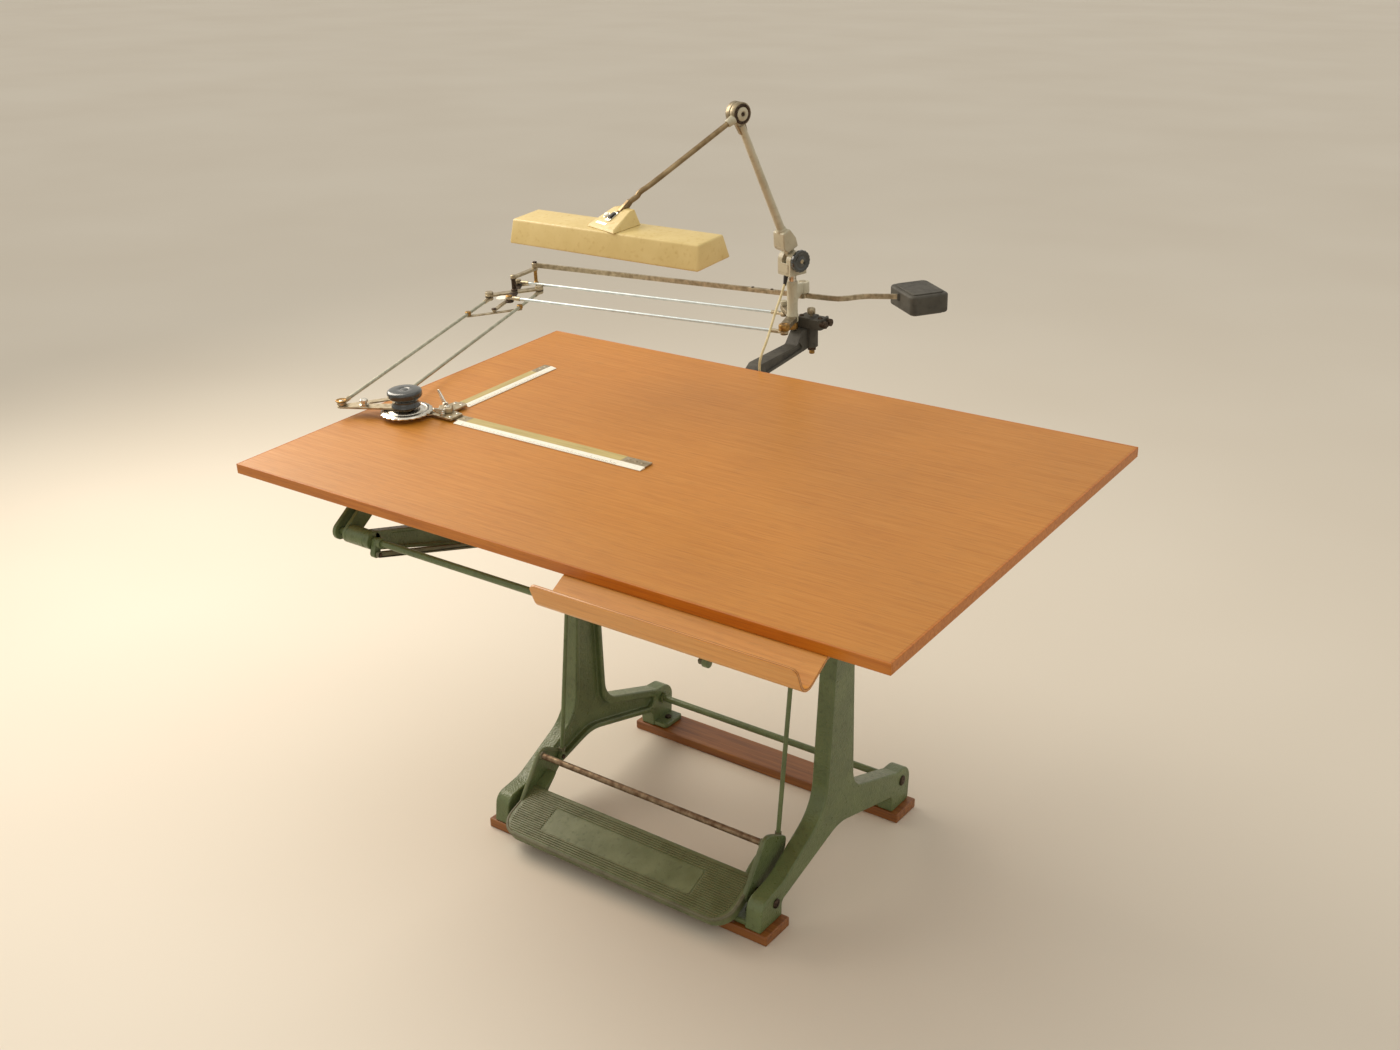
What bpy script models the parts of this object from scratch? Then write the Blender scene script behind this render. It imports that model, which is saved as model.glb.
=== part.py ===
"""Pedal-locked drafting table with a lifting, tilting board, a parallelogram drafting machine and a lamp.

Metres, +Z up. The origin is on the floor under the middle of the front sole beam, +X is to the user's
right and +Y is to the back. Lengths in y below are counted from the middle of the base. What rides on the
board is placed in board coordinates: u to the right, v up the board from its front top edge, h square to
the drawing surface.
"""

from math import atan2, cos, hypot, pi, radians, sin

import bmesh
import bpy
from mathutils import Matrix, Vector

for old in list(bpy.data.objects):
    bpy.data.objects.remove(old, do_unlink=True)

GAP = 0.0003            # between two pieces that touch

# board
BOARD_W = 1.500
BOARD_D = 1.000
BOARD_T = 0.021
BOARD_TILT = radians(3.2)
BOARD_FRONT_Y = -0.590
BOARD_FRONT_Z = 0.860

# base
FRAME_OUT = 0.352       # outer face of a side frame
FRAME_T = 0.038
RECESS = 0.014
SOLE_L = 0.735
SOLE_W = 0.086
SOLE_T = 0.022
SOLE_FRONT_Y = -0.277
SOLE_REAR_Y = 0.257
TIE_R = 0.008
TIE_Y = 0.255
TIE_Z = 0.085

# lift
SHAFT_R = 0.018
SHAFT = Vector((0, -0.017, 0.620))
HUB = Vector((0, -0.555, 0.765))
HUB_R = 0.0185
CROSS_R = 0.0070
LEVER_IN = 0.400
LEVER_T = 0.020
HUB_OUT = 0.4622
LINK_W = 0.012
LINK_PIN_R = 0.0035
LINK_DROP = SHAFT_R + LINK_PIN_R + 0.0020      # level link below the lever, its pins clear of the shaft
NECK_R = 0.0125         # the shaft is thinner where the links swing past it
LINK_OUT = 0.3865       # outer face of the level links
LINK_T = 0.008
LINK_IN = LINK_OUT - LINK_T
REAR_ARM = 0.330
WEIGHT_R = 0.036
FORK_T = 0.008
FORK_OUT = 0.498
FORK_W = 0.037
FORK_RISE = radians(34)

# pedal
PEDAL = Vector((0, -0.254, 0.064))
PEDAL_PIN_R = 0.012
PEDAL_W = 0.594
PEDAL_BACK = Vector((0, -0.248, 0.098))
PEDAL_FRONT = Vector((0, -0.365, 0.050))
PEDAL_RIM = 0.026
PEDAL_PLATE = 0.010
EAR_T = 0.008
PULL_R = 0.0050
PULL_IN = 0.0085        # locking rods inside the ends of the treadle
PULL_FOOT = Vector((0, -0.160, 0.130))
PULL_HEAD = Vector((0, -0.112, 0.600))

# pen tray, in board coordinates
TRAY_L = 0.530
TRAY_U = 0.374
TRAY_T = 0.006

# drafting machine, in board coordinates
ROD_R = 0.0040
UPPER_H = 0.046
LOWER_H = 0.028
BAR_H = 0.086
PIVOT_A = Vector((-0.173, 1.151, 0))
PIVOT_B = Vector((-0.252, 1.274, 0))
COLUMN = Vector((-0.195, 1.222, 0))
BAR_HUB = Vector((-0.223, 1.313, 0))
UPPER_ARM = Vector((-0.766, -0.111, 0))
LOWER_ARM = Vector((0.2545, -0.7487, 0))
ELBOW_L = Vector((-1.022, 1.054, 0))
ELBOW_R = Vector((-0.946, 1.165, 0))
CROSSBAR_AT = 0.17      # share of the lower arm's length
PROTRACTOR = Vector((-0.642, 0.374, 0))
DISC_R = 0.055
KNOB_R = 0.0375
KNOB_TOP = 0.062
CHUCK = Vector((-0.575, 0.425, 0))
SCALE_T = 0.0035
SCALE_W = 0.042
LONG_START = Vector((-0.562, 0.412, 0))
LONG_L = 0.540
SHORT_START = Vector((-0.579, 0.441, 0))
SHORT_L = 0.335
SHORT_W = 0.036
COLUMN_R = 0.0125
COLUMN_TOP = 0.150
EYE_R = 0.011
EYE_T = 0.0084
PIN_R = 0.0035

# lamp, in board coordinates: reach is measured from the column along the arms' upright plane
LAMP_TURN = radians(-106.9)
LAMP_BASE_H = 0.202
ELBOW_REACH = 0.153
ELBOW_H = 0.558
BEND_REACH = 0.4405
BEND_H = 0.4249
FOOT_REACH = 0.4760
FOOT_H = 0.3960
SHADE_REACH = 0.499
SHADE_H = 0.369
SHADE_ROLL = radians(2.6)
SHADE_L = 0.519
SHADE_TOP_W = 0.086
SHADE_LOW_W = 0.115
SHADE_DEEP = 0.052
SHADE_WALL = 0.0020
SADDLE_H = 0.0320        # the saddle slopes from its crest over the arm's foot
SADDLE_NOSE = 0.0060     # down to this height
SADDLE_RUN = 0.0560      # over this length
SADDLE_SLOT = 0.0096
SWITCH_X = 0.0235
SWITCH_HEEL = 0.0012     # the rocker ends clear the slope by this at rest

# lamp cord, in board coordinates
CORD_R = 0.0030
COIL_AT = Vector((0.040, 0.860, 0))

ALONG_X = Matrix(((0, 0, 1), (1, 0, 0), (0, 1, 0))).to_euler()   # a plate's outline becomes (y, z)


# ---------------------------------------------------------------- collections, finishes, helpers
def collection(name):
    made = bpy.data.collections.new(name)
    bpy.context.scene.collection.children.link(made)
    return made


PARTS = collection("drafting_table")
CUTTERS = collection("cutters")
CUTTERS.hide_render = True


def finish(name, colour, roughness, metallic=0.0):
    made = bpy.data.materials.new(name)
    made.use_nodes = True
    shader = made.node_tree.nodes["Principled BSDF"]
    shader.inputs["Base Color"].default_value = (*colour, 1)
    shader.inputs["Roughness"].default_value = roughness
    shader.inputs["Metallic"].default_value = metallic
    return made


GREEN = finish("green_hammer_paint", (0.13, 0.18, 0.11), 0.45)
BARE = finish("worn_steel", (0.22, 0.17, 0.13), 0.50, 0.8)
BEAM = finish("brown_beam", (0.25, 0.09, 0.03), 0.55)
TOP = finish("board_veneer", (0.55, 0.26, 0.08), 0.40)
PLY = finish("beech_ply", (0.75, 0.42, 0.15), 0.40)
IRON = finish("grey_iron", (0.06, 0.058, 0.05), 0.45, 0.4)
CREAM = finish("cream_enamel", (0.50, 0.47, 0.38), 0.40)
SILVER = finish("satin_alloy", (0.60, 0.62, 0.60), 0.30, 0.9)
TARNISH = finish("tarnished_steel", (0.28, 0.25, 0.20), 0.40, 0.9)
CHROME = finish("chrome", (0.75, 0.74, 0.70), 0.15, 1.0)
BLACK = finish("black_bakelite", (0.02, 0.024, 0.024), 0.18)
BOXWOOD = finish("boxwood", (0.60, 0.48, 0.22), 0.50)
MUSTARD = finish("mustard_enamel", (0.62, 0.45, 0.18), 0.40)
TUBE = finish("lamp_tube", (0.85, 0.85, 0.80), 0.30)
CABLE = finish("cream_cable", (0.50, 0.43, 0.26), 0.55)


def empty(name, place, parent=None, turn=(0, 0, 0)):
    made = bpy.data.objects.new(name, None)
    PARTS.objects.link(made)
    made.parent = parent
    made.location = place
    made.rotation_euler = turn
    return made


def stand(obj, home, place, turn, paint, name):
    """Names a shape, stands it in its home's frame and gives it its finish."""
    if obj.name not in PARTS.objects:
        PARTS.objects.link(obj)
    obj.name = name
    obj.parent = home
    obj.location = place
    obj.rotation_euler = turn
    obj.data.materials.clear()
    obj.data.materials.append(paint)
    return obj


def shape(build, name):
    form = bmesh.new()
    build(form)
    mesh = bpy.data.meshes.new(name)
    form.to_mesh(mesh)
    form.free()
    return bpy.data.objects.new(name, mesh)


def block(name, size, home, place, paint, turn=(0, 0, 0), edge=0.0):
    def build(form):
        bmesh.ops.create_cube(form, size=1)
        bmesh.ops.scale(form, vec=size, verts=form.verts)
    made = stand(shape(build, name), home, place, turn, paint, name)
    if edge:
        bevel = made.modifiers.new("edge", "BEVEL")
        bevel.width = edge
        bevel.segments = 2
    return made


def cylinder(name, radius, start, end, home, paint, sides=20, far_radius=None):
    start, end = Vector(start), Vector(end)
    run = end - start
    far = radius if far_radius is None else far_radius

    def build(form):
        bmesh.ops.create_cone(form, cap_ends=True, segments=sides, radius1=radius, radius2=far,
                              depth=run.length)
    turn = Vector((0, 0, 1)).rotation_difference(run).to_euler()
    made = stand(shape(build, name), home, (start + end) / 2, turn, paint, name)
    made.data.shade_smooth()
    made.data.set_sharp_from_angle(angle=radians(35))
    return made


def solid_of(curve, name):
    """The closed mesh of a curve, with its caps welded on."""
    source = bpy.data.objects.new(name, curve)
    bpy.context.scene.collection.objects.link(source)
    graph = bpy.context.evaluated_depsgraph_get()
    mesh = bpy.data.meshes.new_from_object(source.evaluated_get(graph))
    bpy.data.objects.remove(source, do_unlink=True)
    form = bmesh.new()
    form.from_mesh(mesh)
    bmesh.ops.remove_doubles(form, verts=form.verts, dist=0.00002)
    bmesh.ops.dissolve_degenerate(form, dist=0.00001, edges=form.edges)
    form.to_mesh(mesh)
    form.free()
    return bpy.data.objects.new(name, mesh)


def soften(outline, steps=4):
    """An outline's points, with an arc in place of each corner that is given as (x, y, radius)."""
    points = []
    count = len(outline)
    for i, corner in enumerate(outline):
        at = Vector(corner[:2])
        if len(corner) == 2:
            points.append(at)
            continue
        back = (Vector(outline[i - 1][:2]) - at).normalized()
        ahead = (Vector(outline[(i + 1) % count][:2]) - at).normalized()
        half = back.angle(ahead) / 2
        trim = corner[2] * cos(half) / sin(half)
        middle = at + (back + ahead).normalized() * (corner[2] / sin(half))
        first = at + back * trim - middle
        sweep = (pi - 2 * half) * (1 if back.cross(ahead) < 0 else -1)
        for k in range(steps + 1):
            turned = Matrix.Rotation(sweep * k / steps, 2) @ first
            points.append(middle + turned)
    return points


def plate(name, outline, thick, home, place, paint, turn=ALONG_X, edge=0.0):
    """A flat plate of this outline, centred on its place through its thickness."""
    curve = bpy.data.curves.new(name, "CURVE")
    curve.dimensions = "2D"
    curve.fill_mode = "BOTH"
    curve.extrude = thick / 2
    points = soften(outline)
    spline = curve.splines.new("POLY")
    spline.points.add(len(points) - 1)
    for target, at in zip(spline.points, points):
        target.co = (at.x, at.y, 0, 1)
    spline.use_cyclic_u = True
    made = stand(solid_of(curve, name), home, place, turn, paint, name)
    if edge:
        bevel = made.modifiers.new("edge", "BEVEL")
        bevel.width = edge
        bevel.segments = 1
        bevel.limit_method = "ANGLE"
        bevel.angle_limit = radians(50)
    return made


def tube(name, points, radius, home, paint, origin=(0, 0, 0), sides=2):
    """A round bar or a cord through these points."""
    curve = bpy.data.curves.new(name, "CURVE")
    curve.dimensions = "3D"
    curve.bevel_depth = radius
    curve.bevel_resolution = sides
    curve.use_fill_caps = True
    spline = curve.splines.new("POLY")
    spline.points.add(len(points) - 1)
    for target, at in zip(spline.points, points):
        target.co = (*(Vector(at) - Vector(origin)), 1)
    made = stand(solid_of(curve, name), home, origin, (0, 0, 0), paint, name)
    made.data.shade_smooth()
    return made


def turned(name, profile, home, place, paint, steps=24, turn=(0, 0, 0)):
    """A body of revolution about its own Z; the profile runs down the outer side from top to bottom."""
    mesh = bpy.data.meshes.new(name)
    mesh.from_pydata([(r, 0, z) for r, z in profile], [(i, i + 1) for i in range(len(profile) - 1)], [])
    made = stand(bpy.data.objects.new(name, mesh), home, place, turn, paint, name)
    screw = made.modifiers.new("turn", "SCREW")
    screw.steps = steps
    screw.render_steps = steps
    screw.use_merge_vertices = True
    screw.merge_threshold = 0.00001
    return made


def boolean(target, tools, operation):
    for tool in tools:
        if tool.name in PARTS.objects:
            PARTS.objects.unlink(tool)
            CUTTERS.objects.link(tool)
        tool.hide_render = True
        tool.display_type = "WIRE"
        step = target.modifiers.new(operation.lower(), "BOOLEAN")
        step.operation = operation
        step.solver = "EXACT"
        step.object = tool
    return target


def join(target, *tools):
    return boolean(target, tools, "UNION")


def cut(target, *tools):
    return boolean(target, tools, "DIFFERENCE")


def bar_outline(start, end, width):
    """The outline of a straight bar with round ends, in the plane."""
    start, end = Vector(start[:2]), Vector(end[:2])
    along = (end - start).normalized()
    across = Vector((-along.y, along.x))
    points = []
    for middle, first in ((end, -across), (start, across)):
        for k in range(7):
            points.append(middle + Matrix.Rotation(pi * k / 6, 2) @ first * width / 2)
    return [tuple(at) for at in points]


# ---------------------------------------------------------------- base
BASE = empty("base_origin", (0, -SOLE_FRONT_Y, 0))
SIDES = ((-1, "left"), (1, "right"))
FRAME_IN = FRAME_OUT - FRAME_T
FRAME_OUTLINE = [
    (-0.318, SOLE_T + GAP), (-0.238, SOLE_T + GAP), (-0.238, 0.056, 0.012), (-0.018, 0.122, 0.12),
    (0.214, 0.062, 0.015), (0.218, SOLE_T + GAP), (0.292, SOLE_T + GAP), (0.296, 0.113, 0.034),
    (0.236, 0.116, 0.03), (0.036, 0.183, 0.06), (0.014, 0.600), (SHAFT.y, SHAFT.z + 0.010),
    (-0.052, 0.600), (-0.076, 0.184, 0.10), (-0.151, 0.143, 0.15), (-0.236, 0.098, 0.10),
    (-0.312, 0.086, 0.028)]
RECESS_OUTLINE = [
    (-0.222, 0.070, 0.008), (-0.018, 0.134, 0.11), (0.206, 0.078, 0.008), (0.232, 0.098, 0.010),
    (0.024, 0.167, 0.06), (0.004, 0.560, 0.008), (-0.040, 0.560, 0.008), (-0.062, 0.195, 0.10),
    (-0.150, 0.128, 0.10), (-0.222, 0.090, 0.010)]
LEVER_DIR = (HUB - SHAFT).normalized()
LINK_OFF = Vector((0, -LEVER_DIR.z, LEVER_DIR.y)) * LINK_DROP


def side_frame(side, word):
    mid_x = side * (FRAME_IN + FRAME_OUT) / 2
    frame = plate(f"frame_{word}", FRAME_OUTLINE, FRAME_T, BASE, (mid_x, 0, 0), GREEN)
    head = cylinder(f"head_{word}", 0.042, (side * (FRAME_IN + 0.002), SHAFT.y, SHAFT.z),
                    (side * (FRAME_OUT + 0.002), SHAFT.y, SHAFT.z), BASE, GREEN, 28)
    pads = [block(f"pad_{word}_{y}", (0.050, 0.070, 0.012), BASE,
                  (side * (FRAME_IN - 0.010), y, SOLE_T + 2 * GAP + 0.006), GREEN)
            for y in (-0.277, 0.255)]
    pin = cylinder(f"pedal_pin_{word}", PEDAL_PIN_R, (side * (FRAME_IN + 0.010), PEDAL.y, PEDAL.z),
                   (side * (PEDAL_W / 2 - 0.003), PEDAL.y, PEDAL.z), BASE, GREEN)
    link_pin_at = SHAFT + LINK_OFF
    link_pin = cylinder(f"link_pin_{word}", LINK_PIN_R, (side * (FRAME_OUT - 0.010), link_pin_at.y, link_pin_at.z),
                        (side * LINK_OUT, link_pin_at.y, link_pin_at.z), BASE, GREEN, 16)
    recess = plate(f"recess_{word}", RECESS_OUTLINE, 2 * RECESS, BASE, (side * FRAME_IN, 0, 0), GREEN)
    bore = cylinder(f"shaft_bore_{word}", SHAFT_R + GAP, (side * (FRAME_IN - 0.02), SHAFT.y, SHAFT.z),
                    (side * (FRAME_OUT + 0.02), SHAFT.y, SHAFT.z), BASE, GREEN, 28)
    join(frame, head, *pads, pin)
    cut(frame, recess)
    join(frame, link_pin)
    cut(frame, bore)


for side, word in SIDES:
    side_frame(side, word)
for word, y in (("front", SOLE_FRONT_Y), ("rear", SOLE_REAR_Y)):
    block(f"sole_{word}", (SOLE_L, SOLE_W, SOLE_T), BASE, (0, y, SOLE_T / 2), BEAM, edge=0.003)
tie = FRAME_IN - GAP
cylinder("tie_rod", TIE_R, (-tie, TIE_Y, TIE_Z), (tie, TIE_Y, TIE_Z), BASE, GREEN, 16)


# ---------------------------------------------------------------- pedal and its locking rods
PEDAL_AXIS = empty("pedal_axis", PEDAL, BASE)


def pedal():
    run = PEDAL_BACK - PEDAL_FRONT
    deep = hypot(run.y, run.z)
    slope = atan2(run.z, run.y)
    half = PEDAL_W / 2
    outline = [(-half, -deep / 2, 0.045), (half, -deep / 2, 0.045), (half, deep / 2), (-half, deep / 2)]
    wall = 0.007
    inset = [(-half + wall, -deep / 2 + wall, 0.038), (half - wall, -deep / 2 + wall, 0.038),
             (half - wall, deep / 2 - wall), (-half + wall, deep / 2 - wall)]
    down = Vector((0, sin(slope), -cos(slope)))
    centre = (PEDAL_BACK + PEDAL_FRONT) / 2 - PEDAL
    tread = plate("treadle", outline, PEDAL_RIM, PEDAL_AXIS, centre + down * PEDAL_RIM / 2, GREEN,
                  (slope, 0, 0), 0.002)
    hollow = plate("treadle_hollow", inset, PEDAL_RIM, PEDAL_AXIS,
                   centre + down * (PEDAL_RIM / 2 + PEDAL_PLATE), GREEN, (slope, 0, 0))
    cut(tread, hollow)
    ear_outline = [(-0.041, 0.008), (0.030, 0.110, 0.010), (0.056, 0.104, 0.010), (0.108, 0.076, 0.012),
                   (0.104, 0.050, 0.008), (0.018, -0.024, 0.020), (-0.022, -0.018, 0.010)]
    for side, word in SIDES:
        x = side * (half + 0.0005)
        ear = plate(f"ear_{word}", ear_outline, EAR_T, PEDAL_AXIS, (x, 0, 0), GREEN)
        hole = cylinder(f"ear_hole_{word}", PEDAL_PIN_R + GAP, (x - 0.02, 0, 0), (x + 0.02, 0, 0),
                        PEDAL_AXIS, GREEN)
        join(tread, ear)
        cut(tread, hole)
    bar_end = half - EAR_T / 2 + 0.0005 - GAP
    bar_at = Vector((0, -0.222, 0.160)) - PEDAL
    cylinder("treadle_bar", 0.0070, (-bar_end, bar_at.y, bar_at.z), (bar_end, bar_at.y, bar_at.z),
             PEDAL_AXIS, BARE, 16)


def locking_rods():
    for side, word in SIDES:
        foot = Vector((side * (PEDAL_W / 2 - PULL_IN), *(PULL_FOOT - PEDAL)[1:]))
        axis = empty(f"pull_axis_{word}", foot, PEDAL_AXIS)
        reach = PULL_HEAD - PULL_FOOT
        ear_in = side * (PEDAL_W / 2 + 0.0005 - EAR_T / 2 - GAP) - foot.x
        rod = tube(f"pull_rod_{word}", [(0, 0, 0), (0, reach.y, reach.z)], PULL_R, axis, GREEN)
        pins = [cylinder(f"pull_pin_{word}_{i}", 0.0055, (-side * 0.006, at.y, at.z), (ear_in, at.y, at.z),
                         axis, GREEN, 14) for i, at in enumerate((Vector((0, 0, 0)), reach))]
        join(rod, *pins)
        lever_axis = empty(f"brake_axis_{word}", (0, SHAFT.y, SHAFT.z), BASE)
        arm = PULL_HEAD - SHAFT
        lever = plate(f"brake_lever_{word}", bar_outline((0, 0), (arm.y, arm.z), 0.026), 0.008, lever_axis,
                      (side * (PEDAL_W / 2 + 0.0005), 0, 0), GREEN)
        hub = cylinder(f"brake_hub_{word}", 0.027, (side * (PEDAL_W / 2 - 0.0035), 0, 0),
                       (side * (FRAME_IN - GAP), 0, 0), lever_axis, GREEN, 24)
        bore = cylinder(f"brake_bore_{word}", SHAFT_R + GAP, (side * (PEDAL_W / 2 - 0.05), 0, 0),
                        (side * (FRAME_IN + 0.01), 0, 0), lever_axis, GREEN, 24)
        join(lever, hub)
        cut(lever, bore)


pedal()
locking_rods()

# ---------------------------------------------------------------- lift levers, level links, tilt rod
LIFT_AXIS = empty("lift_axis", SHAFT, BASE)
TILT_ROD_AXIS = empty("tilt_rod_axis", HUB - SHAFT, LIFT_AXIS)


def lever_point(along, up):
    """A place on the lever: along from the shaft to the hub, and up square to that."""
    square = Vector((0, LEVER_DIR.z, -LEVER_DIR.y))
    at = LEVER_DIR * along + square * up
    return (at.y, at.z)


def lift():
    reach = (HUB - SHAFT).length
    outline = [lever_point(reach, 0.019), lever_point(0, 0.032), lever_point(-REAR_ARM, 0.026),
               lever_point(-REAR_ARM - 0.036, 0), lever_point(-REAR_ARM, -0.026), lever_point(0, -0.032),
               lever_point(reach, -0.019)]
    pocket = [lever_point(reach - 0.045, 0.0125), lever_point(0.050, 0.024), lever_point(0.050, -0.024),
              lever_point(reach - 0.045, -0.0125)]
    hub = HUB - SHAFT
    for side, word in SIDES:
        mid = side * (LEVER_IN + LEVER_T / 2)
        lever = plate(f"lift_lever_{word}", outline, LEVER_T, LIFT_AXIS, (mid, 0, 0), GREEN)
        sleeve = cylinder(f"hub_{word}", HUB_R, (side * LEVER_IN, hub.y, hub.z), (side * HUB_OUT, hub.y, hub.z),
                          LIFT_AXIS, GREEN, 24)
        groove = plate(f"pocket_{word}", pocket, 0.008, LIFT_AXIS, (side * LEVER_IN, 0, 0), GREEN)
        hub_bore = cylinder(f"hub_bore_{word}", CROSS_R + GAP, (side * 0.38, hub.y, hub.z),
                            (side * 0.48, hub.y, hub.z), LIFT_AXIS, GREEN)
        bore = cylinder(f"lever_bore_{word}", SHAFT_R + GAP, (side * 0.38, 0, 0), (side * 0.44, 0, 0),
                        LIFT_AXIS, GREEN, 24)
        join(lever, sleeve)
        cut(lever, groove, hub_bore, bore)
    end = LEVER_IN + LEVER_T
    neck_in = LINK_IN - 0.004
    neck_out = LINK_OUT + 0.003
    shaft = cylinder("lift_shaft", NECK_R, (-end + 0.002, 0, 0), (end - 0.002, 0, 0), LIFT_AXIS, GREEN, 24)
    journals = [cylinder(f"journal_{i}", SHAFT_R, (low, 0, 0), (high, 0, 0), LIFT_AXIS, GREEN, 24)
                for i, (low, high) in enumerate(((-end, -neck_out), (-neck_in, neck_in), (neck_out, end)))]
    join(shaft, *journals)
    weight = lever_point(-REAR_ARM, 0)
    span = LEVER_IN - GAP
    cylinder("counterweight_bar", WEIGHT_R, (-span, *weight), (span, *weight), LIFT_AXIS, GREEN, 28)


def level_links():
    span = HUB - SHAFT
    for side, word in SIDES:
        axis = empty(f"link_axis_{word}", SHAFT + LINK_OFF, BASE)
        mid = side * (LINK_IN + LINK_OUT) / 2
        link = plate(f"level_link_{word}", bar_outline((0, 0), (span.y, span.z), LINK_W), LINK_T, axis,
                     (mid, 0, 0), GREEN)
        holes = [cylinder(f"link_hole_{word}_{i}", LINK_PIN_R + GAP, (side * 0.37, y, z), (side * 0.40, y, z),
                          axis, GREEN, 16)
                 for i, (y, z) in enumerate(((0, 0), (span.y, span.z)))]
        cut(link, *holes)


def tilt_rod():
    end = FORK_OUT + 0.005
    rod = cylinder("cross_rod", CROSS_R, (-end, 0, 0), (end, 0, 0), TILT_ROD_AXIS, GREEN, 20)
    for side, word in SIDES:
        mid = side * (LINK_OUT + GAP + (LEVER_IN - LINK_OUT - 2 * GAP) / 2)
        crank = plate(f"crank_{word}", bar_outline((0, 0), (LINK_OFF.y, LINK_OFF.z), 0.017),
                      LEVER_IN - LINK_OUT - 4 * GAP, TILT_ROD_AXIS, (mid, 0, 0), GREEN)
        pin = cylinder(f"crank_pin_{word}", LINK_PIN_R, (side * (LINK_IN + GAP), LINK_OFF.y, LINK_OFF.z),
                       (side * (LINK_OUT + 0.006), LINK_OFF.y, LINK_OFF.z), TILT_ROD_AXIS, GREEN, 14)
        join(rod, crank, pin)


lift()
level_links()
tilt_rod()

# ---------------------------------------------------------------- board, forks, tray
FRONT_EDGE = Vector((0, BOARD_FRONT_Y, BOARD_FRONT_Z))
BOARD_AXIS = empty("board_tilt_axis", (0, 0, 0), TILT_ROD_AXIS, (BOARD_TILT, 0, 0))
HUB_ON_BOARD = Matrix.Rotation(-BOARD_TILT, 3, "X") @ (HUB - FRONT_EDGE)
UNDER = -BOARD_T - GAP


def on_board(place, home=HUB_ON_BOARD):
    """Board coordinates, as seen from an axis that stands at this place on the board."""
    return Vector(place) - Vector(home)


def fork(side, word):
    """Two parallel plates that hang from the board to the tilt rod."""
    rise = Vector((0, cos(FORK_RISE), sin(FORK_RISE)))
    square = Vector((0, -rise.z, rise.y))
    centre = HUB_ON_BOARD
    outline = []
    for k in range(7):
        turn = pi * k / 6
        at = centre + square * FORK_W / 2 * cos(turn) - rise * FORK_W / 2 * sin(turn)
        outline.append((at.y - centre.y, at.z - centre.z))
    for across in (-1, 1):
        at = centre + square * across * FORK_W / 2
        at += rise * (UNDER - 0.003 - at.z) / rise.z
        outline.append((at.y - centre.y, at.z - centre.z))
    flange_in = HUB_OUT + GAP
    flange = block(f"tilt_fork_{word}", (FORK_OUT - flange_in + 0.010, 0.150, 0.006), BOARD_AXIS,
                   on_board((side * (flange_in + FORK_OUT) / 2, 0.150, UNDER - 0.003)), GREEN)
    for i, x in enumerate((flange_in + FORK_T / 2, FORK_OUT - FORK_T / 2)):
        cheek = plate(f"cheek_{word}_{i}", outline, FORK_T, BOARD_AXIS, (side * x, 0, 0), GREEN)
        join(flange, cheek)
    bore = cylinder(f"fork_bore_{word}", CROSS_R + GAP, (side * 0.44, 0, 0), (side * 0.52, 0, 0),
                    BOARD_AXIS, GREEN)
    cut(flange, bore)


def tray():
    """One bent sheet: a flange under the board, a back wall, a trough and a lip."""
    line = [Vector((0.055, UNDER - TRAY_T / 2)), Vector((0.002, UNDER - TRAY_T / 2)),
            Vector((-0.066, -0.0610)), Vector((-0.0880, -0.0010))]
    radii = (0, 0.020, 0.022, 0)
    path = [(line[0].x, line[0].y)]
    for i in (1, 2):
        back = (line[i - 1] - line[i]).normalized()
        ahead = (line[i + 1] - line[i]).normalized()
        half = back.angle(ahead) / 2
        middle = line[i] + (back + ahead).normalized() * (radii[i] / sin(half))
        first = line[i] + back * radii[i] / (sin(half) / cos(half)) - middle
        sweep = (pi - 2 * half) * (1 if back.cross(ahead) < 0 else -1)
        for k in range(7):
            at = middle + Matrix.Rotation(sweep * k / 6, 2) @ first
            path.append((at.x, at.y))
    path.append((line[3].x, line[3].y))
    mesh = bpy.data.meshes.new("pen_tray")
    ends = (TRAY_U - TRAY_L / 2, TRAY_U + TRAY_L / 2)
    count = len(path)
    points = [on_board((u, v, h)) for u in ends for v, h in path]
    faces = [(i, i + 1, count + i + 1, count + i) for i in range(count - 1)]
    mesh.from_pydata(points, [], faces)
    made = stand(bpy.data.objects.new("pen_tray", mesh), BOARD_AXIS, (0, 0, 0), (0, 0, 0), PLY, "pen_tray")
    wall = made.modifiers.new("wall", "SOLIDIFY")
    wall.thickness = TRAY_T
    wall.offset = 0
    wall.use_even_offset = True


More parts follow.
